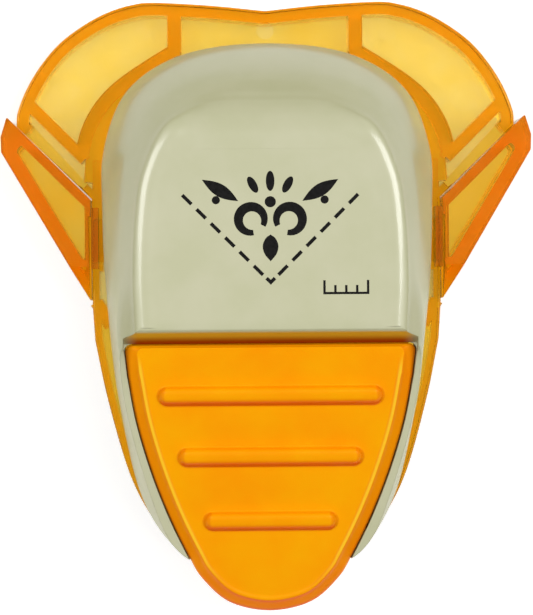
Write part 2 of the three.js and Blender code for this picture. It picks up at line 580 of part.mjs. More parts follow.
function screw([x, y], { head, shank, tip }) {
  const { reach, half, depth } = DRIVE;
  const recess = [SCREW_HEAD[0] - 1, SCREW_HEAD[0] + depth];
  const drive = box([x - reach, x + reach], [y - half, y + half], recess)
    .add(box([x - half, x + half], [y - reach, y + reach], recess));
  return uprightCylinder(head, SCREW_HEAD, [x, y])
    .add(uprightCylinder(shank, [SCREW_HEAD[0] + 0.5, tip], [x, y])).subtract(drive);
}

// ---------------------------------------------------------------- assembly

const housing = new THREE.Group();
housing.add(
  mesh('base_tray', baseTray(), AMBER),
  mesh('left_paper_guide', paperGuide(-1), AMBER),
  mesh('right_paper_guide', paperGuide(1), AMBER),
  mesh('die_plate', diePlate(), GROUND_STEEL),
  mesh('corner_stop_plate', cornerStopPlate(), STEEL),
  mesh('punch_guide_frame', punchGuideFrame(), STEEL),
  mesh('guide_post_left', guidePost(-1), GROUND_STEEL),
  mesh('guide_post_right', guidePost(1), GROUND_STEEL),
  mesh('return_spring_left', returnSpring(-1), DARK_STEEL),
  mesh('return_spring_right', returnSpring(1), DARK_STEEL),
  mesh('pivot_pin', pivotPin(), GROUND_STEEL),
  mesh('pin_clip_left', pinClip(-1), DARK_STEEL),
  mesh('pin_clip_right', pinClip(1), DARK_STEEL),
  mesh('pivot_bush_left', pivotBush(-1), BRASS),
  mesh('pivot_bush_right', pivotBush(1), BRASS),
  mesh('top_shell', topShell(), CREAM),
);
FRAME_SCREWS.forEach((spot, i) => {
  housing.add(mesh(`frame_screw_${i + 1}`, screw(spot, FRAME_SCREW), DARK_STEEL));
});
SHELL_SCREWS.forEach((spot, i) => {
  housing.add(mesh(`shell_screw_${i + 1}`, screw(spot, SHELL_SCREW), DARK_STEEL));
});

const pressLever = new THREE.Group();
pressLever.add(mesh('lever', lever(), ORANGE), mesh('lever_wear_plate', wearPlate(), GROUND_STEEL));

const punch = mesh('punch_block', punchBlock(), STEEL);

const cornerPunch = new THREE.Group();
cornerPunch.add(housing, pressLever, punch);

export default cornerPunch;
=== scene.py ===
"""A lever-type decorative corner punch on a plain pale floor, seen from straight above."""
import json
import math

import bmesh
import bpy
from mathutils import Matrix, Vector


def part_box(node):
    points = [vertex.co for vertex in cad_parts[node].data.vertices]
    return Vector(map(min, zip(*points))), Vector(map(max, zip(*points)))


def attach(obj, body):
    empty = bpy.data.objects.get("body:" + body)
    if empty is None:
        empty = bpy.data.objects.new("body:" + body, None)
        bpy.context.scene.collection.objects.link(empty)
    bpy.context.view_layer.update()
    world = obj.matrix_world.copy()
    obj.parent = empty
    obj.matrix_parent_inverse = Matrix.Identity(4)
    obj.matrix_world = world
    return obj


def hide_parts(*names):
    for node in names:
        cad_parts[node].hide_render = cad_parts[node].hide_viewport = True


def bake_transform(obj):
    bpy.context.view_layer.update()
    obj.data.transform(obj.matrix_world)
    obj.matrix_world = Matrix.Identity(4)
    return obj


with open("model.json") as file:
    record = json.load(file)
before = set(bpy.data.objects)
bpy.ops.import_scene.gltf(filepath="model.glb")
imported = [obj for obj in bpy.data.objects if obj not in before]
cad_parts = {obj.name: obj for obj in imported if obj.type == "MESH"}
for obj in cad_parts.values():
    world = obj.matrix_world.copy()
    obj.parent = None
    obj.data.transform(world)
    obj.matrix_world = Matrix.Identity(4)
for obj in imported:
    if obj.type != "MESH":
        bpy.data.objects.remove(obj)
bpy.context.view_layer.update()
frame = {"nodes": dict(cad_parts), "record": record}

MM = 0.001

# ------------ sizes, in millimetres, as in the CAD

PAPER_PLANE = 9.0  # top of the base, where the paper lies
CORNER_Y = -15.3  # where the paper's two edges meet
WEB = 1.6  # thickness of the base's top skin
WEB_UNDER = PAPER_PLANE - WEB
WALL = 2.6  # thickness of the base's outer wall at the back
BASE_SIDE_X = 37.4  # the base's straight sides, and the guides' inner edges
GUIDE_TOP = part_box("left_paper_guide")[1][2] / MM
SHELL_WALL = 2.0
SLOT_TOP = 11.0  # top of the slot that the paper goes into
FLOOR_TOP = 10.8  # top of the shell's floor below the lever
LEVER_REAR_Y = -8.5
LEVER_TIP_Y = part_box("lever")[0][1] / MM
LEVER_REAR_Z = 41.0
LEVER_SLOPE = 0.303
SKIRT_REAR_Z = 33.0  # lower edge of the lever's skirt at its back
SKIRT_SLOPE = 0.24
PIVOT = (33.0, 34.5)  # (y, z)
TAB_X, TAB_HALF = 36, 2.1  # the guides' tabs, in slots of the base
TAB_Y, TAB_Z = (9, 18), (3, 6)
DIE = {"x": 28.5, "front": -22.5, "back": 22.0, "bottom": 6.0}
WELL_X, WELL_Y = (-21.5, 21.5), (-16.5, 19.0)
FRAME_SCREWS = ((-22.0, -19.5), (22.0, -19.5), (-25.2, 0.0), (25.2, 0.0))
SHELL_SCREWS = ((-25.5, -29.0), (25.5, -29.0), (-14.5, -45.0), (14.5, -45.0))

# Where cutting blocks end, clear of the part: below it, beside it, above it, and in front.
BELOW = -1
WIDE = 40
HIGH = 60
FAR = 70


# ------------ curves and outlines

def spline(knots, steps):
    """A Catmull-Rom line through open knots, with that many steps between two of them."""
    first = [2 * a - b for a, b in zip(knots[0], knots[1])]
    last = [2 * a - b for a, b in zip(knots[-1], knots[-2])]
    ends = [tuple(first), *knots, tuple(last)]
    line = []
    for i in range(1, len(ends) - 2):
        p0, p1, p2, p3 = ends[i - 1:i + 3]
        for k in range(steps):
            t = k / steps
            line.append(tuple(
                0.5 * (2 * b + (c - a) * t + (2 * a - 5 * b + 4 * c - d) * t * t
                       + (3 * b - a - 3 * c + d) * t ** 3)
                for a, b, c, d in zip(p0, p1, p2, p3)))
    line.append(tuple(knots[-1]))
    return line


def smooth_half(knots, steps):
    """A smooth half outline that starts square to the centre line."""
    mirror = (-knots[1][0], knots[1][1])
    line = spline([mirror, *knots], steps)[steps:]
    line[0] = (0.0, line[0][1])
    return line


def mirrored(half):
    """A half outline, listed from front to back, joined to its mirror image."""
    return list(half) + [(-x, y) for x, y in reversed(half) if x > 1e-6]


def closed_ring(half, steps):
    """A smooth closed outline through a half outline's knots and their mirror images."""
    knots = mirrored(half)
    count = len(knots)
    wrapped = [knots[(i - 1) % count] for i in range(count + 3)]
    line = []
    for i in range(1, count + 1):
        p0, p1, p2, p3 = wrapped[i - 1:i + 3]
        ends = [math.dist(a, b) ** 0.5 for a, b in ((p0, p1), (p1, p2), (p2, p3))]
        for k in range(steps):
            line.append(centripetal(p0, p1, p2, p3, ends, k / steps))
    return line


def centripetal(p0, p1, p2, p3, gaps, t):
    """A point between p1 and p2 on the centripetal Catmull-Rom curve, whose loops stay tight."""
    d0, d1, d2 = gaps

    def one(a, b, c, d):
        m1 = (b - a) / d0 - (c - a) / (d0 + d1) + (c - b) / d1
        m2 = (c - b) / d1 - (d - b) / (d1 + d2) + (d - c) / d2
        m1, m2 = m1 * d1, m2 * d1
        return b + m1 * t + (-3 * b + 3 * c - 2 * m1 - m2) * t * t + (2 * b - 2 * c + m1 + m2) * t ** 3

    return tuple(one(*values) for values in zip(p0, p1, p2, p3))


def offset(outline, distance):
    """A counter-clockwise outline moved outward, or inward where the distance is negative."""
    count = len(outline)
    moved = []
    for i, (x, y) in enumerate(outline):
        before = (Vector((x, y)) - Vector(outline[i - 1])).normalized()
        after = (Vector(outline[(i + 1) % count]) - Vector((x, y))).normalized()
        normal = Vector((before.y + after.y, -before.x - after.x)).normalized()
        # At a sharp corner the point moves by at most twice the distance.
        stretch = 1 / max(0.5, normal.x * before.y - normal.y * before.x)
        moved.append((x + normal.x * distance * stretch, y + normal.y * distance * stretch))
    return moved


def rounded(corners, radius, steps=5):
    """A polygon with each corner replaced by an arc-like curve of about that radius."""
    most = 0.45  # the share of a side that one corner may take
    outline = []
    count = len(corners)
    for i, corner in enumerate(corners):
        here = Vector(corner)
        back = Vector(corners[i - 1]) - here
        ahead = Vector(corners[(i + 1) % count]) - here
        half_angle = back.angle(ahead) / 2
        reach = min(radius / math.tan(half_angle), most * back.length, most * ahead.length)
        start = here + back.normalized() * reach
        end = here + ahead.normalized() * reach
        for k in range(steps + 1):
            t = k / steps
            spot = start * (1 - t) ** 2 + here * 2 * t * (1 - t) + end * t * t
            outline.append((spot.x, spot.y))
    return outline


def smoothstep(value, low, high):
    """0 to 1 as the value goes from low to high."""
    t = min(1, max(0, (value - low) / (high - low)))
    return t * t * (3 - 2 * t)


def blend(a, b, share):
    """The point that lies that share of the way from a to b."""
    return tuple(p + (q - p) * share for p, q in zip(a, b))


def counter_clockwise(outline):
    area = sum(a[0] * b[1] - b[0] * a[1] for a, b in zip(outline, [*outline[1:], outline[0]]))
    return list(outline) if area > 0 else list(reversed(outline))


def on_side(outline, side):
    """The outline on the right (1) or mirrored to the left (-1), counter-clockwise."""
    return counter_clockwise([(x * side, y) for x, y in outline])


# ------------ meshes

def new_object(name, data):
    piece = bpy.data.objects.new(name, data)
    bpy.context.scene.collection.objects.link(piece)
    return piece


def make_object(name, points, faces):
    """A mesh object from points in millimetres."""
    mesh = bpy.data.meshes.new(name)
    mesh.from_pydata([tuple(c * MM for c in point) for point in points], [], faces)
    work = bmesh.new()
    work.from_mesh(mesh)
    bmesh.ops.remove_doubles(work, verts=work.verts, dist=1e-7)
    bmesh.ops.recalc_face_normals(work, faces=work.faces)
    work.to_mesh(mesh)
    work.free()
    return new_object(name, mesh)


def ring_skin(name, rings):
    """A closed skin over rings of (x, y, z) points, all of one length, capped at both ends."""
    count = len(rings[0])
    points = [point for ring in rings for point in ring]
    faces = []
    for level in range(len(rings) - 1):
        low = level * count
        for i in range(count):
            after = (i + 1) % count
            faces.append((low + i, low + after, low + count + after, low + count + i))
    faces.append(tuple(range(count - 1, -1, -1)))
    top = (len(rings) - 1) * count
    faces.append(tuple(range(top, top + count)))
    return make_object(name, points, faces)


def flat(outline, z):
    """The outline at one height."""
    return [(x, y, z) for x, y in outline]


def prism(name, outline, z0, z1, round_top=0.0, round_bottom=0.0, steps=4):
    """An outline extruded from z0 to z1, with its upper and lower edges rounded."""
    rings = []
    if round_bottom:
        for k in range(steps):
            a = math.pi / 2 * k / steps
            inset = round_bottom * (1 - math.sin(a))
            rings.append(flat(offset(outline, -inset), z0 + round_bottom * (1 - math.cos(a))))
    rings.append(flat(outline, z0 + round_bottom))
    rings.append(flat(outline, z1 - round_top))
    if round_top:
        for k in range(1, steps + 1):
            a = math.pi / 2 * k / steps
            inset = round_top * (1 - math.cos(a))
            rings.append(flat(offset(outline, -inset), z1 - round_top * (1 - math.sin(a))))
    return ring_skin(name, rings)


def circle(x, y, radius, sides=48):
    angles = [2 * math.pi * i / sides for i in range(sides)]
    return [(x + radius * math.cos(a), y + radius * math.sin(a)) for a in angles]


def cylinder(name, x, y, radius, z0, z1):
    return prism(name, circle(x, y, radius), z0, z1)


def block(name, xs, ys, zs):
    """A box that spans those ranges."""
    outline = [(xs[0], ys[0]), (xs[1], ys[0]), (xs[1], ys[1]), (xs[0], ys[1])]
    return prism(name, outline, *zs)


def around(middle, half):
    """The range that reaches half to either side of the middle."""
    return (middle - half, middle + half)


def wider(span, gap):
    return (span[0] - gap, span[1] + gap)


def side_profile(name, profile, x0, x1):
    """A closed profile of (y, z) points extruded across the part."""
    return ring_skin(name, [[(x, y, z) for y, z in profile] for x in (x0, x1)])


def apply_modifiers(piece):
    graph = bpy.context.evaluated_depsgraph_get()
    mesh = bpy.data.meshes.new_from_object(piece.evaluated_get(graph))
    old = piece.data
    piece.modifiers.clear()
    piece.data = mesh
    mesh.name = piece.name
    bpy.data.meshes.remove(old)


def boolean(piece, others, operation):
    """Joins the others to the piece, or cuts them from it, and uses them up."""
    for other in others:
        step = piece.modifiers.new("cut", "BOOLEAN")
        step.operation = operation
        step.solver = "EXACT"
        step.object = other
        apply_modifiers(piece)
        mesh = other.data
        bpy.data.objects.remove(other)
        bpy.data.meshes.remove(mesh)
    return piece


def cut(piece, *others):
    return boolean(piece, others, "DIFFERENCE")


def union(piece, *others):
    return boolean(piece, others, "UNION")


def merge(name, objects):
    """Objects that don't touch each other, as one object."""
    work = bmesh.new()
    for thing in objects:
        work.from_mesh(thing.data)
    mesh = bpy.data.meshes.new(name)
    work.to_mesh(mesh)
    work.free()
    for thing in objects:
        old = thing.data
        bpy.data.objects.remove(thing)
        bpy.data.meshes.remove(old)
    return new_object(name, mesh)


def smooth(piece, angle=32):
    """Smooth shading, with the edges sharper than the angle left crisp."""
    piece.data.shade_smooth()
    piece.data.set_sharp_from_angle(angle=math.radians(angle))
    return piece


# ------------ materials

def srgb(red, green, blue):
    """An sRGB colour, 0 to 255, in the linear numbers that a shader takes."""
    def linear(value):
        value /= 255
        return value / 12.92 if value <= 0.04045 else ((value + 0.055) / 1.055) ** 2.4
    return (linear(red), linear(green), linear(blue), 1.0)


def add_node(tree, kind, inputs, **properties):
    """A new shader node. An input is another node's output, which is linked, or a plain value."""
    node = tree.nodes.new("ShaderNode" + kind)
    for name, value in properties.items():
        setattr(node, name, value)
    for socket, value in inputs.items():
        if isinstance(value, bpy.types.NodeSocket):
            tree.links.new(value, node.inputs[socket])
        else:
            node.inputs[socket].default_value = value
    return node


# A Mix node's colour sockets, which share their names with its number and vector sockets.
MIX_FIRST, MIX_SECOND, MIX_RESULT = 6, 7, 2


class Material:
    """A Principled material whose colour, roughness and bump come from nodes."""

    def __init__(self, name):
        self.material = bpy.data.materials.new(name)
        self.material.use_nodes = True
        self.tree = self.material.node_tree
        self.shader = next(n for n in self.tree.nodes if n.type == "BSDF_PRINCIPLED")
        self.output = next(n for n in self.tree.nodes if n.type == "OUTPUT_MATERIAL")
        self.place = self.add("TexCoord", {})

    def add(self, kind, inputs, **properties):
        return add_node(self.tree, kind, inputs, **properties)

    def set(self, socket, value):
        self.shader.inputs[socket].default_value = value

    def link(self, socket, source):
        """Drives one of the shader's inputs with a node's output."""
        self.tree.links.new(source, self.shader.inputs[socket])

    def noise(self, size_mm, detail=3.0, roughness=0.5, stretch=(1, 1, 1)):
        """Noise whose features are about that many millimetres across."""
        mapping = self.add("Mapping", {"Scale": stretch, "Vector": self.place.outputs["Object"]})
        texture = self.add("TexNoise", {"Scale": 1 / (size_mm * MM), "Detail": detail, "Roughness": roughness,
                                        "Vector": mapping.outputs["Vector"]})
        return texture.outputs["Fac"]

    def two_noises(self, first, second):
        """Equal parts of two noises."""
        return self.add("Mix", {"Factor": 0.5, "A": first, "B": second}, data_type="FLOAT").outputs["Result"]

    def ramp(self, source, low, high, start=0.35, end=0.65):
        """The source mapped to a range of colours or grey values."""
        node = self.add("ValToRGB", {"Fac": source})
        for stop, place, level in zip(node.color_ramp.elements, (start, end), (low, high)):
            stop.position = place
            stop.color = level if isinstance(level, tuple) else (level, level, level, 1)
        return node.outputs["Color"]

    def axis(self, which, name):
        """One part, X, Y or Z, of the object's own place or of the surface's normal."""
        return self.add("SeparateXYZ", {"Vector": self.place.outputs[which]}).outputs[name]

    def between(self, source, start, end):
        """0 to 1 as the source goes from start to end, smoothly."""
        node = self.add("MapRange", {"Value": source, "From Min": start, "From Max": end},
                        interpolation_type="SMOOTHSTEP")
        return node.outputs["Result"]

    def times(self, first, second):
        return self.add("Math", {0: first, 1: second}, operation="MULTIPLY").outputs["Value"]

    def times_plus(self, source, factor, added):
        node = self.add("Math", {0: source, 1: factor, 2: added}, operation="MULTIPLY_ADD")
        return node.outputs["Value"]

    def mix(self, share, source, tint, blend="MIX"):
        """The source with the tint over it, as much as share says."""
        node = self.add("Mix", {}, data_type="RGBA", blend_type=blend)
        self.tree.links.new(share, node.inputs["Factor"])
        self.tree.links.new(source, node.inputs[MIX_FIRST])
        if isinstance(tint, tuple):
            node.inputs[MIX_SECOND].default_value = tint
        else:
            self.tree.links.new(tint, node.inputs[MIX_SECOND])
        return node.outputs[MIX_RESULT]

    def colour(self, source):
        self.link("Base Color", source)

    def roughness(self, source):
        self.link("Roughness", source)

    def bump(self, source, strength, depth_mm, edge_mm=0.0):
        """Relief from the source. edge_mm also softens the sharp edges by that radius."""
        node = self.add("Bump", {"Strength": strength, "Distance": depth_mm * MM, "Height": source})
        if edge_mm:
            edge = self.add("Bevel", {"Radius": edge_mm * MM}, samples=4)
            self.tree.links.new(edge.outputs["Normal"], node.inputs["Normal"])
        self.link("Normal", node.outputs["Normal"])

    def absorb(self, colour, per_metre):
        """Tints the light that goes through the piece, more the longer its way."""
        node = self.add("VolumeAbsorption", {"Color": colour, "Density": per_metre})
        self.tree.links.new(node.outputs["Volume"], self.output.inputs["Volume"])


def amber_plastic():
    """Clear amber moulding: thin skins look yellow, and tall walls look deep orange."""
    m = Material("amber_plastic")
    m.set("IOR", 1.49)
    m.set("Transmission Weight", 1.0)
    m.set("Specular IOR Level", 0.2)
    m.set("Specular Tint", (1, 0.75, 0.2, 1))
    m.colour(m.ramp(m.noise(9, 4), (1.0, 0.86, 0.44, 1), (1.0, 0.92, 0.62, 1)))
    m.roughness(m.ramp(m.noise(3.5, 4), 0.14, 0.26))
    m.bump(m.two_noises(m.noise(2.4, 3), m.noise(0.5, 2)), strength=0.1, depth_mm=0.05)
    m.absorb((0.993, 0.865, 0.0, 1), per_metre=600)
    return m.material


# The shell's painted light and shade, and its gloss, follow the Z part of the normal, from 1, facing up, down
# to 0, upright:
# painted shade on sloping faces, painted light on steep flanks. Each pair says where one starts and where it
# is full.
SLOPING = (0.93, 0.6)
STEEP = (0.45, 0.15)
GLOSSY = (0.2, 0.6)
SLOPING_PAINTED_SHADE = (0.74, 0.73, 0.59, 1)
STEEP_PAINTED_LIGHT = (1.2, 1.2, 1.3, 1)
COAT_LEVELS = (0.0, 0.5)
SPECULAR_LEVELS = (0.05, 0.5)
# The painted orange reflection of the lever on the shell's lip, with painted shade toward its foot: the Y
# part of the normal, and in millimetres its upper and lower edges, its half width, and the heights between
# which its colour changes.
LIP_FACING = (-0.2, -0.6)
LIP_REFLECTION_TOP = (45.6, 44.5)
LIP_REFLECTION_FOOT = (38.5, 39.0)
LIP_REFLECTION_SIDE = (30.2, 26.8)
LIP_REFLECTION_COLOURS = (39.3, 44.8)


def cream_plastic():
    """Opaque pale cream moulding with a satin, faintly pearly skin."""
    m = Material("cream_plastic")
    m.set("IOR", 1.5)
    m.set("Coat Roughness", 0.11)
    skin = m.ramp(m.noise(11, 3, 0.6), srgb(195, 195, 158), srgb(200, 199, 165))
    rise = m.axis("Normal", "Z")
    # Painted shade: sloping faces, such as the back slope, are darkened.
    skin = m.mix(m.between(rise, *SLOPING), skin, SLOPING_PAINTED_SHADE, "MULTIPLY")
    # Painted light: the steep flanks are brightened and cooled.
    skin = m.mix(m.between(rise, *STEEP), skin, STEEP_PAINTED_LIGHT, "MULTIPLY")
    gloss = m.between(rise, *GLOSSY)
    m.link("Coat Weight", m.ramp(gloss, *COAT_LEVELS, 0, 1))
    m.link("Specular IOR Level", m.ramp(gloss, *SPECULAR_LEVELS, 0, 1))
    height = m.axis("Object", "Z")
    # Painted reflection: the lever's orange on the lip's front-facing band, turning dark red toward its foot
    # as painted shade.
    facing = m.between(m.axis("Normal", "Y"), *LIP_FACING)
    lip_reflection = m.times(facing, m.between(height, *(z * MM for z in LIP_REFLECTION_TOP)))
    lip_reflection = m.times(lip_reflection, m.between(height, *(z * MM for z in LIP_REFLECTION_FOOT)))
    across = m.axis("Object", "X")
    lip_reflection = m.times(lip_reflection, m.between(m.times(across, across), *((x * MM) ** 2 for x in LIP_REFLECTION_SIDE)))
    amber = m.ramp(m.between(height, *(z * MM for z in LIP_REFLECTION_COLOURS)),
                   srgb(150, 38, 0), srgb(212, 162, 36), 0.1, 0.8)
    m.colour(m.mix(lip_reflection, skin, amber))
    m.roughness(m.ramp(m.noise(5, 4), 0.29, 0.33))
    m.bump(m.noise(0.3, 2), strength=0.08, depth_mm=0.02, edge_mm=0.35)
    return m.material


# The lever's painted shade: the Y part of the normal, for faces turned to the front, and the square of its X
# part, for faces turned sideways.
FRONT_FACING = (-0.4, -0.85)
SIDE_FACING = (0.015, 0.1)
SIDE_PAINTED_SHADE = (0.93, 0.76, 0.6, 1)
# A painted highlight on the crest of its bead: its lower and upper edges in millimetres above the paddle's
# plane, the Z part of the normal, and where it fades in behind the tip.
CREST_HIGHLIGHT_BELOW = (-0.24, -0.04)
CREST_HIGHLIGHT_ABOVE = (0.2, 0.06)
CREST_HIGHLIGHT_RISE = (0.86, 0.93)
CREST_HIGHLIGHT_TIP = (-61, -50)


def orange_plastic():
    """Opaque orange moulding, semi-gloss, with a fine spark-eroded grain."""
    m = Material("orange_plastic")
    m.set("IOR", 1.5)
    m.set("Subsurface Weight", 0.12)
    m.set("Subsurface Radius", (0.004, 0.0015, 0.0004))
    m.set("Subsurface Scale", 0.5)
    m.set("Specular IOR Level", 0.3)
    m.set("Specular Tint", (1, 0.8, 0.2, 1))
    skin = m.ramp(m.noise(16, 3), srgb(255, 158, 0), srgb(255, 170, 0))
    # Painted shade on faces turned to the front, such as the grip ribs' lower sides.
    shade = m.between(m.axis("Normal", "Y"), *FRONT_FACING)
    # Painted shade on the bevelled sides, which face sideways.
    sideways = m.axis("Normal", "X")
    skin = m.mix(m.between(m.times(sideways, sideways), *SIDE_FACING), skin, SIDE_PAINTED_SHADE, "MULTIPLY")
    height = m.times_plus(m.axis("Object", "Y"), -LEVER_SLOPE, m.axis("Object", "Z"))
    plane = (LEVER_REAR_Z - LEVER_SLOPE * LEVER_REAR_Y) * MM
    # Painted highlight: a pale yellow line along the bead's crest.
    crest_highlight = m.between(height, *(plane + z * MM for z in CREST_HIGHLIGHT_BELOW))
    crest_highlight = m.times(crest_highlight, m.between(height, *(plane + z * MM for z in CREST_HIGHLIGHT_ABOVE)))
    crest_highlight = m.times(crest_highlight, m.between(m.axis("Normal", "Z"), *CREST_HIGHLIGHT_RISE))
    crest_highlight = m.times(crest_highlight, m.between(m.axis("Object", "Y"), *(y * MM for y in CREST_HIGHLIGHT_TIP)))
    skin = m.mix(crest_highlight, skin, srgb(255, 198, 40))
    m.colour(m.mix(shade, skin, srgb(240, 98, 0)))
    m.roughness(m.ramp(m.noise(4, 4), 0.3, 0.38))
    m.bump(m.two_noises(m.noise(0.22, 2), m.noise(2.2, 3)), strength=0.16, depth_mm=0.03, edge_mm=0.3)
    return m.material


def print_ink():
    """Pad-printed black ink: matt, and slightly thin in places."""
    m = Material("print_ink")
    m.colour(m.ramp(m.noise(1.5, 5, 0.7), srgb(12, 10, 8), srgb(5, 4, 3)))
    m.set("Specular IOR Level", 0.15)
    m.roughness(m.ramp(m.noise(0.6, 3), 0.5, 0.7))
    m.bump(m.noise(0.15, 2), strength=0.15, depth_mm=0.01)
    return m.material


def metal(name, dark, light, roughness, grain=(1, 1, 1), grain_mm=0.5):
    """Bare metal with a machining grain that runs along the least stretched axis."""
    m = Material(name)
    m.set("Metallic", 1.0)
    m.colour(m.ramp(m.noise(6, 4), dark, light))
    smoother, rougher = 0.08, 0.1
    m.roughness(m.ramp(m.noise(grain_mm, 3, 0.6, grain), roughness - smoother, roughness + rougher))
    m.bump(m.noise(grain_mm, 3, 0.6, grain), strength=0.2, depth_mm=0.01, edge_mm=0.12)
    return m.material


def floor_paper():
    """A white backlit sheet, as under a light tent."""
    m = Material("floor_paper")
    m.colour(m.ramp(m.noise(40, 2), (0.93, 0.93, 0.93, 1), (0.95, 0.95, 0.95, 1)))
    m.roughness(m.ramp(m.noise(3, 3), 0.8, 0.9))
    m.set("Emission Color", (1, 1, 1, 1))
    m.set("Emission Strength", 0.45)
    return m.material


MATERIALS = {
    "amber_plastic": amber_plastic(),
    "cream_plastic": cream_plastic(),
    "orange_plastic": orange_plastic(),
    "print_ink": print_ink(),
    "ground_steel": metal("ground_steel", (0.5, 0.51, 0.52, 1), (0.62, 0.63, 0.64, 1), 0.28, (1, 8, 1)),
    "sheet_steel": metal("sheet_steel", (0.42, 0.43, 0.45, 1), (0.55, 0.56, 0.58, 1), 0.36, (6, 1, 1)),
    "spring_steel": metal("spring_steel", (0.12, 0.12, 0.13, 1), (0.22, 0.22, 0.23, 1), 0.32),
    "screw_steel": metal("screw_steel", (0.2, 0.2, 0.21, 1), (0.32, 0.32, 0.34, 1), 0.34),
    "bush_brass": metal("bush_brass", (0.52, 0.34, 0.11, 1), (0.66, 0.46, 0.17, 1), 0.3),
    "punch_metal": metal("punch_metal", (0.46, 0.46, 0.47, 1), (0.6, 0.6, 0.61, 1), 0.33, (1, 1, 9)),
}


def finish_piece(piece, body, material, *nodes, slot=None):
    """Gives the piece its material, its body and the CAD nodes that it stands for."""
    piece.data.materials.clear()
    piece.data.materials.append(MATERIALS[material])
    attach(piece, body)
    if nodes:
        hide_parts(*nodes)
    return piece


# ------------ base tray

TRAY_EDGE = [(53.2, 41.1), (51.2, 46.2), (48.0, 51.4), (43.9, 56.1), (38.6, 60.0), (33.6, 62.6),
             (28.7, 64.1), (23.8, 64.6), (11.5, 63.9), (0, 62.7)]
BASE_FRONT = [(0, -57.9), (9, -56.9), (16, -54.2), (21.3, -50.2), (25.2, -45.5), (29.8, -36.2),
              (34.2, -20.8), (36.9, -7.9)]
BASE_SIDE = [(BASE_SIDE_X, 0), (BASE_SIDE_X, 22.5)]
FENCE_END = (53.4, 53.4 + CORNER_Y + 0.02)
SIDE_WALL = 1.5
THICK_WALL_Y = 24  # the outer wall is thinner in front of this line
# The strip of web beside the guide's fence, which is thinner than the rest.
FENCE_STRIP = [(40, 24), (52, 36), (49, 39.5), (37, 27.5)]
FENCE_STRIP_HOLLOW = 1.8
# What stands below the web runs into it by a little, so that the two join.
RIB_TOP = WEB_UNDER + 0.4
RIB_LINES = [
    ([(19.5, 54), (19.5, 63.5)], 2.9),
    ([(18.5, 54.6), (20.7, 53.8), (29.6, 48.1), (34.7, 43.5), (38.1, 37.9), (39.9, 31.5)], WALL),
    ([(50.6, 42.8), (38.9, 31.1)], 2.5),
    ([(36.6, 0.4), (33.6, -4.7)], 2.8),
    ([(36.2, 7.0), (36.2, 31.0)], 2.2),
]
# The deep skin between the inner arc and the shell's foot.
FOOT_SKIN = [(20.5, 51.3), (28.0, 45.6), (33.0, 39.8), (35.6, 33.5), (36.4, 26.0)]
FOOT_SKIN_WIDTH = 5.4
FOOT_SKIN_Z = 1.6
FRONT_SKIN_Z = 5.2
FRONT_SKIN_INSET = 0.8
# Blocks, here and below, are given as their x, y and z ranges.
CENTRE_SKIN = ((-19, 19), (40, 62.4), (WEB_UNDER - 0.7, RIB_TOP))
DIE_SEAT = (around(0, DIE["x"] + 2), wider((DIE["front"], DIE["back"]), 2.5), (0, RIB_TOP))
SIDE_RAIL_X, SIDE_RAIL_HALF = 36.6, 0.75
SIDE_RAIL = ((7.5, 20.4), (WEB_UNDER, 15.5))
BOSS_RADIUS = 3.6
SHANK_RADIUS = 1.7
HEAD_RADIUS = 2.8
HEAD_TOP = 3.3
ABOVE_WEB = 12  # cutters through the web end here, clear above it
GAP = 0.3  # about the die and the guides' tabs
DIE_POCKET = (around(0, DIE["x"] + GAP), wider((DIE["front"], DIE["back"]), GAP),
              (DIE["bottom"], ABOVE_WEB))
CHIP_WELL = (WELL_X, WELL_Y, (BELOW, ABOVE_WEB))
TAB_SLOT_HALF = 2.5
EJECTOR_MARKS = ((26.3, 58.0, 1.9), (-26.3, 58.0, 1.9), (43.0, 44.5, 3.6), (-43.0, 44.5, 3.6),
                 (0, 58.5, 1.9))
EJECTOR_DEPTH = 0.2


def strip(line, width):
    """A band of one width along an open line."""
    left, right = [], []
    for i, point in enumerate(line):
        start = Vector(line[max(0, i - 1)])
        end = Vector(line[min(len(line) - 1, i + 1)])
        along = (end - start).normalized()
        across = Vector((along.y, -along.x)) * width / 2
        left.append((point[0] + across.x, point[1] + across.y))
        right.append((point[0] - across.x, point[1] - across.y))
    return counter_clockwise(left + right[::-1])


def tray_outline(front):
    """The base seen from above: its front, its straight sides and the wide back."""
    tail = spline([FENCE_END, *TRAY_EDGE], 6)[1:]
    tail[-1] = (0.0, tail[-1][1])
    return mirrored([*front, *BASE_SIDE, FENCE_END, *tail])


def tray_hollow(outline):
    """The space below the web, inside the outer wall."""
    walls = zip(outline, offset(outline, -WALL), offset(outline, -SIDE_WALL))
    return prism("hollow", [thick if y > THICK_WALL_Y else thin for (x, y), thick, thin in walls],
                 BELOW, WEB_UNDER)


def tray_ribs(front):
    """Ribs, deeper skins, the die's seat and bosses below the web, and the rails beside the shell."""
    ribs = []
    for line, width in RIB_LINES:
        path = spline(line, 5) if len(line) > 2 else line
        for side in (1, -1):
            ribs.append(prism("rib", strip([(x * side, y) for x, y in path], width), 0, RIB_TOP))
    ribs.append(block("seat", *DIE_SEAT))
    for side in (1, -1):
        path = spline([(x * side, y) for x, y in FOOT_SKIN], 5)
        ribs.append(prism("foot_skin", strip(path, FOOT_SKIN_WIDTH), FOOT_SKIN_Z, RIB_TOP))
    front_skin = offset(mirrored([*front, BASE_SIDE[0]]), -FRONT_SKIN_INSET)
    ribs.append(prism("front_skin", front_skin, FRONT_SKIN_Z, RIB_TOP))
    ribs += [block("side_rail", around(side * SIDE_RAIL_X, SIDE_RAIL_HALF), *SIDE_RAIL) for side in (1, -1)]
    ribs.append(block("centre_skin", *CENTRE_SKIN))
    return ribs + [cylinder("boss", x, y, BOSS_RADIUS, 0, RIB_TOP) for x, y in SHELL_SCREWS]


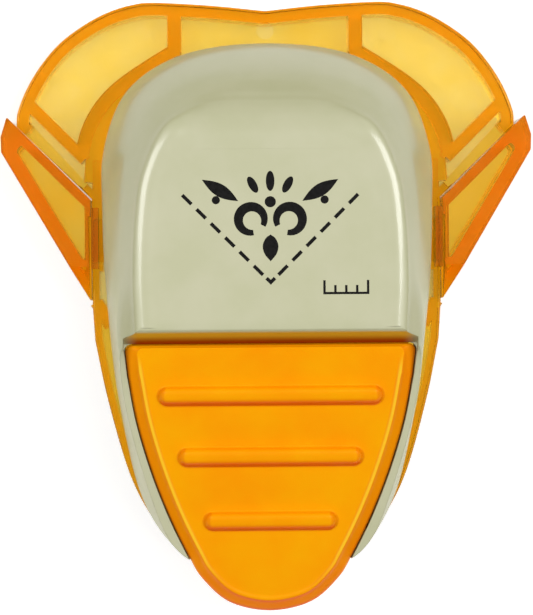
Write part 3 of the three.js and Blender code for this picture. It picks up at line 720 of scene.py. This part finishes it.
def tray_openings():
    """The die's pocket, the chip well, the screw holes, the guides' slots and the ejector pins' marks."""
    screws = FRAME_SCREWS + SHELL_SCREWS
    slots = [block("slot", around(side * TAB_X, TAB_SLOT_HALF), wider(TAB_Y, GAP), wider(TAB_Z, GAP))
             for side in (1, -1)]
    marks = [cylinder("mark", x, y, radius, WEB_UNDER - 1, WEB_UNDER + EJECTOR_DEPTH)
             for x, y, radius in EJECTOR_MARKS]
    return [
        block("pocket", *DIE_POCKET),
        block("well", *CHIP_WELL),
        merge("shanks", [cylinder("hole", x, y, SHANK_RADIUS, BELOW, ABOVE_WEB) for x, y in screws]),
        merge("heads", [cylinder("hole", x, y, HEAD_RADIUS, BELOW, HEAD_TOP) for x, y in screws]),
        merge("slots", slots),
        merge("marks", marks),
    ]


def base_tray():
    front = smooth_half(BASE_FRONT, 7)
    outline = tray_outline(front)
    tray = prism("amber_base_tray", outline, 0, PAPER_PLANE, round_top=0.5, round_bottom=0.3)
    cut(tray, tray_hollow(outline))
    for side in (1, -1):
        cut(tray, prism("fence_strip", on_side(FENCE_STRIP, side), BELOW, WEB_UNDER - FENCE_STRIP_HOLLOW))
    union(tray, *tray_ribs(front))
    cut(tray, *tray_openings())
    return finish_piece(smooth(tray, 9), "housing", "amber_plastic", "base_tray")


# ------------ paper guides

# The guide, and the pockets above and below its web, seen from above.
GUIDE_OUTLINE = [(37.55, 0.8), (37.8, 0.8), (56.3, 32.3), (56.4, 35.5), (55.1, 39.78), (37.55, 22.23)]
GUIDE_POCKET = [(38.7, 8.6), (53.1, 32.6), (52.1, 33.9), (38.7, 20.6)]
GUIDE_WEB_BOTTOM = WEB_UNDER - 1.9
# What is cut off the guide: its front end, as (y, z), and its edge beside the shell.
LOW_END = [(-1, 9.2), (0.4, 9.2), (10.5, 17), (-1, 17)]
INNER_EDGE_HALF = 0.5
ABOVE_GUIDE = 17
INNER_EDGE = ((0, 18.6), (PAPER_PLANE, ABOVE_GUIDE))


def paper_guide(side):
    name = "amber_guide_right" if side > 0 else "amber_guide_left"
    node = "right_paper_guide" if side > 0 else "left_paper_guide"
    pocket = rounded(on_side(GUIDE_POCKET, side), 0.5)
    guide = prism(name, rounded(on_side(GUIDE_OUTLINE, side), 0.3), 0, GUIDE_TOP)
    cut(guide,
        prism("under", pocket, BELOW, GUIDE_WEB_BOTTOM),
        prism("over", pocket, PAPER_PLANE, ABOVE_GUIDE),
        side_profile("low_end", LOW_END, -HIGH, HIGH),
        block("inner_edge", around(side * BASE_SIDE_X, INNER_EDGE_HALF), *INNER_EDGE))
    union(guide, block("tab", around(side * TAB_X, TAB_HALF), TAB_Y, TAB_Z))
    return finish_piece(smooth(guide), "housing", "amber_plastic", node)


# ------------ lever

PADDLE_SIDE = [(0, LEVER_TIP_Y), (8.5, -62.7), (14.2, -57.6), (17.2, -52.4), (21.0, -44.2), (24.5, -34.8),
               (27.4, -24.5), (29.1, -14.8)]
REAR_CORNER = (29.6, LEVER_REAR_Y)
REAR_RADIUS = 1.4
ROOF_THICKNESS = 2.5
PADDLE_DISH = -0.28  # the face inside the bead, below the paddle's plane
# The bevel, the bead and the face's edge: how far inside the outline, and how far above the paddle's plane.
BEVEL = [(0.0, -2.1), (0.1, -1.7), (0.5, -1.3), (1.3, -0.85), (1.95, -0.45), (2.3, -0.12),
         (2.6, 0.0), (2.95, -0.08), (3.3, -0.22), (3.7, PADDLE_DISH)]
FACE_INSET = 4.3
# Where, ahead of the back edge, the bevel turns into the back edge's, and how much narrower it is there.
REAR_START, REAR_END, REAR_NARROWER = 3.0, 0.4, 0.72
# Each grip rib's y and half length, and a rib's section as (share of the half width, height).
GRIP_RIBS = ((-19.0, 22.9), (-31.7, 18.9), (-45.2, 13.7))
GRIP_HALF_WIDTH = 1.85
GRIP_FOOT = [(1.25, -0.7), (1.25, -0.29)]
GRIP_CROWN = [(1.12, -0.2), (1.02, 0.02), (0.93, 0.4), (0.8, 0.8), (0.6, 1.1), (0.35, 1.27), (0.1, 1.32)]
# Inside the paddle: two long spines and three cross ribs, which run up into its roof.
SPINE_X, SPINE_HALF, SPINE_ENDS, SPINE_LIFT = 8, 0.9, (-58, -10), 0.6
CROSS_AT, CROSS_HALF, CROSS_LIFT = (-22, -36, -49), 0.7, 1.6
CROSS_REACH = (26.5, 0.3)  # the first cross rib's half length, and how fast it shrinks toward the tip
ROOF_OVERLAP = 0.5
# The arm to the pivot, its two gussets, as (y, z), the barrel, and the tail under the shell's lip.
ARM = ((-17.5, 17.5), (-13, PIVOT[0]), (31, 34.5))
GUSSET = [(31, 31), (31, 37.5), (-10, 37.5), (-10, 39.0), (-36, 31.2), (-33, 30.6), (-14, 31)]
GUSSET_X, GUSSET_HALF = 15.5, 2
BARREL_RADIUS, BARREL_HALF = 4.8, 19.3
BORE_RADIUS, BORE_HALF = 2.7, 30
TAIL = [(-11, 37), (-7.4, 37), (-7.4, 37.5), (-7.6, 38.0), (-8.1, 38.2), (-9, 38.3), (-11, 38.4)]
TAIL_HALF = 28.2
WEAR_POCKET = ((-12.3, 12.3), (-4.3, 9.3), (30, 32.3))


def paddle_top(y):
    """Height of the paddle's sloping plane."""
    return LEVER_REAR_Z - LEVER_SLOPE * (LEVER_REAR_Y - y)


def skirt_bottom(y):
    """Height of the lower edge of the paddle's skirt."""
    return SKIRT_REAR_Z - SKIRT_SLOPE * (LEVER_REAR_Y - y)


def paddle_outline(outward=0.0, radius=REAR_RADIUS):
    """The paddle seen from above, with rounded back corners, moved outward."""
    side = smooth_half(PADDLE_SIDE, 10)
    ring = offset(mirrored([*side, REAR_CORNER]), outward)
    half = ring[:len(side) + 1]
    x, y = half.pop()
    corner = [(x - radius * (1 - math.cos(a)), y - radius * (1 - math.sin(a)))
              for a in (math.pi / 2 * k / 8 for k in range(9))]
    return mirrored([*half, *corner])


def paddle_ring(inset, height):
    """A ring inside the outline, at a height from the paddle's plane, and narrower at the back edge."""
    ring = []
    for x, y in paddle_outline(-inset):
        at_rear = smoothstep(y, LEVER_REAR_Y - REAR_START - inset, LEVER_REAR_Y - REAR_END - inset)
        y += REAR_NARROWER * inset * at_rear
        ring.append((x, y, paddle_top(y) + height - at_rear * max(0, height - PADDLE_DISH)))
    return ring


def paddle_skin():
    """The hollow paddle as one closed skin: inner roof, skirt, bevelled side and bead about the top."""
    # Each ring: how far inside the outline, its corner radius, the surface it follows, its height from that.
    skirt = [(2.7, 0.3, paddle_top, -ROOF_THICKNESS), (2.25, 0.3, paddle_top, -ROOF_THICKNESS - 0.4),
             (2.25, 0.3, skirt_bottom, 0.1), (1.9, 0.4, skirt_bottom, 0), (0.4, 1.1, skirt_bottom, 0),
             (0, REAR_RADIUS, skirt_bottom, 0.35)]
    rings = [[(x, y, surface(y) + height) for x, y in paddle_outline(-inset, radius)]
             for inset, radius, surface, height in skirt]
    rings += [paddle_ring(inset, height) for inset, height in spline(BEVEL, 3)]
    rings.append(paddle_ring(FACE_INSET, PADDLE_DISH))
    return ring_skin("orange_lever", rings)


def grip_rib(y, half_length):
    """A raised bar across the paddle, with a soft foot and rounded ends."""
    arc_steps = 12
    rings = []
    for share, height in [*GRIP_FOOT, *spline(GRIP_CROWN, 2)]:
        radius = GRIP_HALF_WIDTH * share
        ring = []
        for k in range(arc_steps + 1):
            a = -math.pi / 2 + math.pi * k / arc_steps
            ring.append((half_length - GRIP_HALF_WIDTH + radius * math.cos(a), radius * math.sin(a)))
        ring += [(-x, -v) for x, v in ring]
        rings.append([(x, y + v, paddle_top(y + v) + height) for x, v in ring])
    return ring_skin("rib", rings)


def inner_rib(name, ys, heights_at, lift, xs):
    """A rib inside the paddle, from above its skirt's lower edge up into its roof. heights_at says at which y
    the heights of its front and its back are taken."""
    low = [skirt_bottom(y) + lift for y in heights_at]
    high = [paddle_top(y) - ROOF_THICKNESS + ROOF_OVERLAP for y in heights_at]
    return side_profile(name, [(ys[0], low[0]), (ys[1], low[1]), (ys[1], high[1]), (ys[0], high[0])], *xs)


def paddle_ribs():
    ribs = [inner_rib("spine", SPINE_ENDS, SPINE_ENDS, SPINE_LIFT, around(side * SPINE_X, SPINE_HALF))
            for side in (-1, 1)]
    longest, shrinking = CROSS_REACH
    for y in CROSS_AT:
        reach = longest + (y - CROSS_AT[0]) * shrinking
        ribs.append(inner_rib("cross", around(y, CROSS_HALF), (y, y), CROSS_LIFT, around(0, reach)))
    return ribs


def lever():
    paddle = paddle_skin()
    ribs = paddle_ribs()
    arm = block("arm", *ARM)
    gussets = [side_profile("gusset", GUSSET, *around(side * GUSSET_X, GUSSET_HALF)) for side in (-1, 1)]
    barrel = side_profile("barrel", circle(*PIVOT, BARREL_RADIUS), -BARREL_HALF, BARREL_HALF)
    tail = side_profile("tail", TAIL, -TAIL_HALF, TAIL_HALF)
    union(paddle, *[grip_rib(*rib) for rib in GRIP_RIBS])
    union(paddle, tail, *ribs, arm, *gussets, barrel)
    bore = side_profile("bore", circle(*PIVOT, BORE_RADIUS), -BORE_HALF, BORE_HALF)
    cut(paddle, block("wear_pocket", *WEAR_POCKET), bore)
    return finish_piece(smooth(paddle, 17), "press_lever", "orange_plastic", "lever")


# ------------ shell

# Three outlines, point for point: on the base, at the rim beside the lever, and about the top face.
SHELL_FOOT = [(0, -57.9), (16, -54.4), (21.8, -50.3), (27.2, -41.1), (31.9, -20.6), (33.5, -8.5),
              (34.5, 5.6), (35.0, 20), (34.7, 32.3), (29.8, 44.9), (19, 52.4), (0, 55.2)]
SHELL_RIM = [(0, -57.3), (15.8, -54), (20.6, -49.8), (24.5, -40.7), (29.8, -20.5), (31, -8.5),
             (32.4, 5.6), (33.3, 20), (33, 32), (28.5, 44.3), (18.5, 51.4), (0, 54)]
SHELL_FACE = [(0, -56.3), (15, -52.9), (20.4, -49), (25.6, -40.4), (29.6, -20.3), (27.5, -8.3),
              (27.8, 4), (27.3, 17), (25.7, 26.8), (20.8, 36.2), (13, 40.2), (0, 40.8)]
# Each level: its height at the sides and at the back, how far it has drawn in from the foot toward the top
# face at the sides and at the back, as a share, and how far, in millimetres, it has moved inward as well.
DOME_LEVELS = [(PAPER_PLANE, PAPER_PLANE, 0, 0, 0), (16, 16, 0.01, 0.01, 0), (23, 23, 0.07, 0.08, 0),
               (30, 30, 0.24, 0.25, 0), (37, 37, 0.53, 0.55, 0), (41.2, 40.6, 0.76, 0.8, 0),
               (43.8, 42.0, 0.92, 0.92, 0), (44.7, 42.7, 0.97, 0.98, 0), (45.2, 43.1, 1.0, 1.02, 0)]
# The bead about the top face, which fades out at the back, and the face itself, a little below it.
BEAD_LEVELS = [(45.5, 43.5, 1, 1.04, 0.3), (45.72, 43.95, 1, 1.06, 0.75), (45.86, 44.35, 1, 1.08, 1.2),
               (45.95, 44.7, 1, 1.09, 1.7), (45.99, 44.95, 1, 1.1, 2.2), (45.98, 45.15, 1, 1.1, 2.7),
               (45.93, 45.35, 1, 1.1, 3.3), (45.87, 45.52, 1, 1.1, 3.9), (45.83, 45.66, 1, 1.1, 4.5),
               (45.82, 45.76, 1, 1.1, 5.1), (45.82, 45.81, 1, 1.1, 5.7), (45.82, 45.82, 1, 1.1, 6.3),
               (45.82, 45.82, 1, 1.1, 6.9)]
# The hollow's levels above the foot, told as the dome's are.
HOLLOW_TOP = [(41.0, 41.0, 0.76, 0.87, 0), (43.6, 43.6, 0.9, 1.1, 0)]
FACE_Z = 45.82
# The back begins and is full at these y. The flanks' y is where they stop hugging the lever, and their z is
# where they turn into the top.
BACK_Y = (44, 54.5)
FLANK_Y = (LEVER_REAR_Y, LEVER_REAR_Y + 18)
FLANK_Z = (40, 45)
FLANK_CURVE = 1.3
FLANK_MOST = 1.1
# The rim beside the lever lies this far below the paddle's plane, and rises to the top face as (y, z).
RIM_DROP = 0.5
RIM_RISE = [(-5.0, 46.1), (-6.0, 45.3), (-7.2, 43.9), (-8.6, 42.4), (-10.4, 40.9), (-13.0, 39.5)]
RIM_STRAIGHT = (-18, -22)
# The shell's front lip over the lever's back edge, as (y, z) from the top face down, and its half width.
LIP = [(-5.0, FACE_Z), (-5.5, 45.65), (-5.95, 45.1), (-6.35, 44.1), (-7.0, 42.4), (-7.65, 40.7),
       (-8.25, 39.3)]
LIP_REACH = 29.9
LIP_OPEN = (-10, 50)  # the corner, as (y, z), of what is cut away in front of the lip
# The wall behind the lip, which the hollow leaves, and the room below the lip for the lever's tail.
FRONT_WALL = ((-WIDE, WIDE), (-FAR, -5.9), (38.6, HIGH))
TAIL_ROOM = ((-28.5, 28.5), (-9, LIP[-1][0]), (34, LIP[-1][1] + 0.01))
LEVER_GAP = 0.18
# Below the lever: the shell's floor, and the bulkhead in front of the die.
SHELL_FLOOR = ((-WIDE, WIDE), (-FAR, DIE["front"] - 2), (PAPER_PLANE, FLOOR_TOP))
BULKHEAD = ((-WIDE, WIDE), (DIE["front"] - 4, DIE["front"] - 2.2), (PAPER_PLANE, 22))
INNER_GAP = 0.4  # how far these stay inside the shell's outer face
SCREW_BOSS_RADIUS, SCREW_BOSS_TOP = 2.9, 14.5
SCREW_HOLE_RADIUS, SCREW_HOLE_TOP = 1.55, 14.4
BELOW_SHELL = 5  # cutters through the shell's lower edge start here
PAD_X, PAD_HALF = 21.5, 1.4
PAD = ((24, 30), (40, 43.4))
SLOT_BACK = CORNER_Y - 0.6
SLOT_END = 80


def rim_height(y):
    """Height of the shell's rim beside the lever."""
    return paddle_top(min(y, LEVER_REAR_Y)) - RIM_DROP


def shell_ring(z, back_z, side_drawn, back_drawn, inward):
    """The shell's outline at one height: a dome at the back, and flanks that hug the lever."""
    ring = []
    heights = []
    outlines = [closed_ring(outline, 8) for outline in (SHELL_FOOT, SHELL_RIM, SHELL_FACE)]
    for foot, rim, face in zip(*outlines):
        y = foot[1]
        rise = max(0, z - PAPER_PLANE) / (rim_height(y) - PAPER_PLANE)
        flank = blend(foot, rim, min(FLANK_MOST, rise ** FLANK_CURVE))
        near_lever = (1 - smoothstep(y, *FLANK_Y)) * (1 - smoothstep(z, *FLANK_Z))
        at_back = smoothstep(y, *BACK_Y)
        drawn = side_drawn + (back_drawn - side_drawn) * at_back
        ring.append(blend(blend(foot, face, drawn), flank, near_lever))
        heights.append(z + (back_z - z) * at_back)
    return [(x, y, height) for (x, y), height in zip(offset(ring, -inward), heights)]


def shell_skin(name, levels, inward):
    """A closed skin through the levels, moved inward by that much more."""
    return ring_skin(name, [shell_ring(*drawn, inset + inward) for *drawn, inset in levels])


def shell_hollow():
    """The space inside the shell, which leaves the wall behind the lip."""
    levels = [(PAPER_PLANE - 1, PAPER_PLANE - 1, 0, 0, 0), *spline(DOME_LEVELS[:5], 3)[1:], *HOLLOW_TOP]
    return cut(shell_skin("hollow", levels, SHELL_WALL), block("front_wall", *FRONT_WALL))


def lever_openings():
    """What the lever takes from the shell: its well, all above the rim, and the room about its tail."""
    lip = spline(LIP, 3)
    front, top = LIP_OPEN
    before_lip = [(LIP[0][0], top), (front, top), (front, lip[-1][1]), *reversed(lip)]
    rise = spline([*RIM_RISE, *((y, rim_height(y)) for y in RIM_STRAIGHT)], 3)
    above_rim = [(RIM_RISE[0][0], HIGH), *rise, (-FAR, rim_height(-FAR)), (-FAR, HIGH)]
    return [
        prism("lever_well", paddle_outline(LEVER_GAP), FLOOR_TOP, HIGH),
        side_profile("rim", above_rim, -WIDE, WIDE),
        side_profile("lip", before_lip, -LIP_REACH, LIP_REACH),
        block("tail_room", *TAIL_ROOM),
    ]


def paper_slot():
    """The slot between base and shell, which ends in the paper's corner."""
    outline = [(0, SLOT_BACK), (FAR, FAR + SLOT_BACK), (FAR, SLOT_END), (-FAR, SLOT_END),
               (-FAR, FAR + SLOT_BACK)]
    return prism("slot", outline, BELOW_SHELL, SLOT_TOP)


def top_shell():
    levels = [*spline(DOME_LEVELS, 4), *BEAD_LEVELS]
    shell = shell_skin("cream_shell", levels, 0)
    hollow = shell_hollow()
    floor = block("floor", *SHELL_FLOOR)
    bulkhead = block("bulkhead", *BULKHEAD)
    for wall in (floor, bulkhead):
        boolean(wall, [shell_skin("keep", levels, INNER_GAP)], "INTERSECT")
    cut(shell, hollow)
    union(shell, floor)
    cut(shell, *lever_openings())
    bosses = [cylinder("boss", x, y, SCREW_BOSS_RADIUS, PAPER_PLANE, SCREW_BOSS_TOP)
              for x, y in SHELL_SCREWS]
    union(shell, bulkhead, *bosses)
    union(shell, *[block("pad", around(side * PAD_X, PAD_HALF), *PAD) for side in (1, -1)])
    holes = [cylinder("hole", x, y, SCREW_HOLE_RADIUS, BELOW_SHELL, SCREW_HOLE_TOP)
             for x, y in SHELL_SCREWS]
    cut(shell, merge("holes", holes), paper_slot())
    return finish_piece(smooth(shell, 22), "housing", "cream_plastic", "top_shell")


# ------------ print on the shell

PRINT_SCALE = 0.75  # the print's size beside what the punch cuts
PRINT_SHIFT = 15.5  # how far back it lies
PRINT_TOP = FACE_Z + 0.02
PRINT_DEPTH = 0.09


def ellipse(x, y, half_width, half_length, turn, points=40):
    """An ellipse about (x, y), turned counter-clockwise."""
    outline = []
    for i in range(points):
        a = 2 * math.pi * i / points
        u, v = half_width * math.cos(a), half_length * math.sin(a)
        outline.append((x + u * math.cos(turn) - v * math.sin(turn),
                        y + u * math.sin(turn) + v * math.cos(turn)))
    return outline


def crescent(x, y, radius, thickness, start, end, points=36):
    """A bent stroke from one angle to another, thickest at its middle."""
    at_ends, more_inside = 0.28, 0.22
    edges = {1: [], -1: []}
    for sign, edge in edges.items():
        for i in range(points):
            along = i / (points - 1)
            a = start + (end - start) * along
            reach = radius + sign * thickness * (at_ends + more_inside * math.sin(math.pi * along))
            edge.append((x + reach * math.cos(a), y + reach * math.sin(a)))
    return counter_clockwise(edges[1] + edges[-1][::-1])


def leaf(stalk, tip, bulge, points=20):
    """A pointed leaf that bulges by that much to each side."""
    start = Vector(stalk)
    along = Vector(tip) - start
    across = Vector((-along.y, along.x)).normalized()
    edges = []
    for sign in (1, -1):
        for i in range(points):
            t = i / points if sign > 0 else 1 - i / points
            spot = start + along * t - across * sign * bulge * math.sin(math.pi * t)
            edges.append((spot.x, spot.y))
    return counter_clockwise(edges)


def ornament():
    """The corner ornament, drawn as large as the punch cuts it and then brought to the print's size."""
    bud = spline([(0, -9.6), (1.6, -7.6), (2.1, -5.4), (1.3, -3.4), (0, -2.4)], 8)
    bud[0] = (0.0, bud[0][1])
    bud[-1] = (0.0, bud[-1][1])
    centre = [mirrored(bud), ellipse(0, 6.4, 1.5, 1.5, 0), ellipse(0, 12, 1.15, 2.7, 0)]
    side = [crescent(5.1, 1.6, 3.5, 2.6, math.pi * 1.15, -math.pi * 0.55), ellipse(4.7, 11, 1.1, 2.4, -0.5),
            leaf((8.6, 6.6), (18.3, 12.4), 1.7), ellipse(14.6, 6.9, 1.1, 1.1, 0)]
    outlines = centre + side + [on_side(outline, -1) for outline in side]
    return [[(x * PRINT_SCALE, y * PRINT_SCALE) for x, y in outline] for outline in outlines]


def printed(name, outlines):
    """Outlines printed on the top face, as one thin piece."""
    marks = [prism("mark", [(x, y + PRINT_SHIFT) for x, y in counter_clockwise(outline)],
                   PRINT_TOP - PRINT_DEPTH, PRINT_TOP) for outline in outlines]
    return finish_piece(merge(name, marks), "housing", "print_ink", slot="cream_plastic")


def corner_line():
    """A dashed right angle below the ornament, with a small chevron where its sides meet."""
    apex = CORNER_Y * PRINT_SCALE
    outlines = []
    dashes, first, pitch, length, width = 6, 2.2, 4.05, 2.6, 0.72
    for side in (1, -1):
        for i in range(dashes):
            near = (first + i * pitch) / math.sqrt(2)
            far = near + length / math.sqrt(2)
            outlines.append(strip([(side * near, apex + near), (side * far, apex + far)], width))
    outlines.append([(0, apex - 0.45), (1.1, apex + 0.65), (0.6, apex + 1.15), (0, apex + 0.55),
                     (-0.6, apex + 1.15), (-1.1, apex + 0.65)])
    return printed("printed_corner_line", outlines)


def scale_bar():
    """A plain ruler mark: a line with five ticks, of which the first and the last are taller."""
    x0, x1, y = 10.8, 19.6, CORNER_Y * PRINT_SCALE - 2.2
    ticks, half = 5, 0.24
    tall, short = 2.6, 1.6
    span = (x1 - x0) / (ticks - 1)
    outline = [(x0 - half, y - half), (x1 + half, y - half)]
    for i in reversed(range(ticks)):
        x = x0 + i * span
        height = tall if i in (0, ticks - 1) else short
        outline += [(x + half, y + height), (x - half, y + height)]
        if i:
            outline += [(x - half, y + half), (x - span + half, y + half)]
    return printed("printed_scale_bar", [outline])


# ------------ camera, floor and light, in metres

EYE = (-0.0131, -0.0009, 0.6)
EYE_AIM_X = -0.0001
EYE_ROLL = -0.0072
LENS = 161.2
SENSOR = 36
FLOOR_GAP = 0.05  # in millimetres, like the floor's other sizes
FLOOR_HALF = 3000
FLOOR_DEPTH = 20
# The tent's brightness level with the part and overhead, and its share beside the part and before or behind.
TENT_RISE = (0.05, 0.48)
TENT_ROUND = (1.05, 0.3)
# Area lights: name, place, aim, width and height, power in watts.
LIGHTS = (
    ("left_softbox", (-0.56, 0.2, 1.0), (0, 0, 0), (0.32, 0.6), 4.6),
    ("right_softbox", (0.58, 0.2, 1.0), (0, 0, 0), (0.34, 0.6), 5.9),
    ("left_strip", (-0.62, -0.5, 0.95), (0, -0.03, 0.03), (0.1, 0.6), 0.8),
    ("right_strip", (0.62, -0.5, 0.95), (0, -0.03, 0.03), (0.08, 0.6), 0.6),
)


def camera():
    """Above the part, a little to the left of its middle, and looking almost straight down."""
    data = bpy.data.cameras.new("camera")
    data.lens = LENS
    data.sensor_width = SENSOR
    data.sensor_fit = "AUTO"
    data.clip_start = 0.05
    eye = new_object("camera", data)
    eye.location = EYE
    eye.rotation_euler = (0, -math.atan2(EYE_AIM_X - eye.location.x, EYE[2] - PAPER_PLANE * MM), EYE_ROLL)
    bpy.context.scene.camera = eye


def floor():
    half = FLOOR_HALF
    sheet = block("floor", (-half, half), (-half, half), (-FLOOR_DEPTH, -FLOOR_GAP))
    sheet.data.materials.append(floor_paper())


def area_light(name, place, aim, size, power):
    data = bpy.data.lights.new(name, "AREA")
    data.shape = "RECTANGLE"
    data.size, data.size_y = size
    data.energy = power
    light = new_object(name, data)
    light.location = place
    light.rotation_euler = (Vector(aim) - Vector(place)).to_track_quat("-Z", "Y").to_euler()


def studio():
    """A tent that is brighter overhead, with a softbox and a narrow strip at each side."""
    world = bpy.data.worlds.new("studio")
    world.use_nodes = True
    tree = world.node_tree
    sky = tree.nodes["Background"]
    sky.inputs["Color"].default_value = (1, 1, 1, 1)
    place = add_node(tree, "TexCoord", {})
    split = add_node(tree, "SeparateXYZ", {"Vector": place.outputs["Generated"]})
    rise = add_node(tree, "MapRange", {"To Min": TENT_RISE[0], "To Max": TENT_RISE[1],
                                       "Value": split.outputs["Z"]})
    sides = add_node(tree, "Math", {0: split.outputs["Y"], 1: 2.0}, operation="POWER")
    share = add_node(tree, "MapRange", {"To Min": TENT_ROUND[0], "To Max": TENT_ROUND[1],
                                        "Value": sides.outputs["Value"]})
    level = add_node(tree, "Math", {0: rise.outputs["Result"], 1: share.outputs["Result"]},
                     operation="MULTIPLY")
    tree.links.new(level.outputs["Value"], sky.inputs["Strength"])
    bpy.context.scene.world = world
    for light in LIGHTS:
        area_light(*light)


# ------------ return springs

def return_spring(name):
    """A rigid copy of the CAD's coil, in place of its node. The real coil is squeezed by the punch block as
    it comes down; this copy does not move.
    """
    coil = new_object(f"{name}_coil", frame["nodes"][name].data.copy())
    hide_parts(name)
    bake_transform(coil)


# ------------ the whole

def carried_over():
    """Gives each CAD node that still shows the material of its slot."""
    slots = {row["node"]: row["material_slot"] for row in frame["record"]["subparts"]}
    for node, thing in frame["nodes"].items():
        thing.data.materials.clear()
        thing.data.materials.append(MATERIALS[slots[node]])


bpy.context.scene.view_settings.view_transform = "Standard"
camera()
floor()
studio()
carried_over()
base_tray()
paper_guide(1)
paper_guide(-1)
lever()
top_shell()
return_spring("return_spring_left")
return_spring("return_spring_right")
printed("printed_ornament", ornament())
corner_line()
scale_bar()
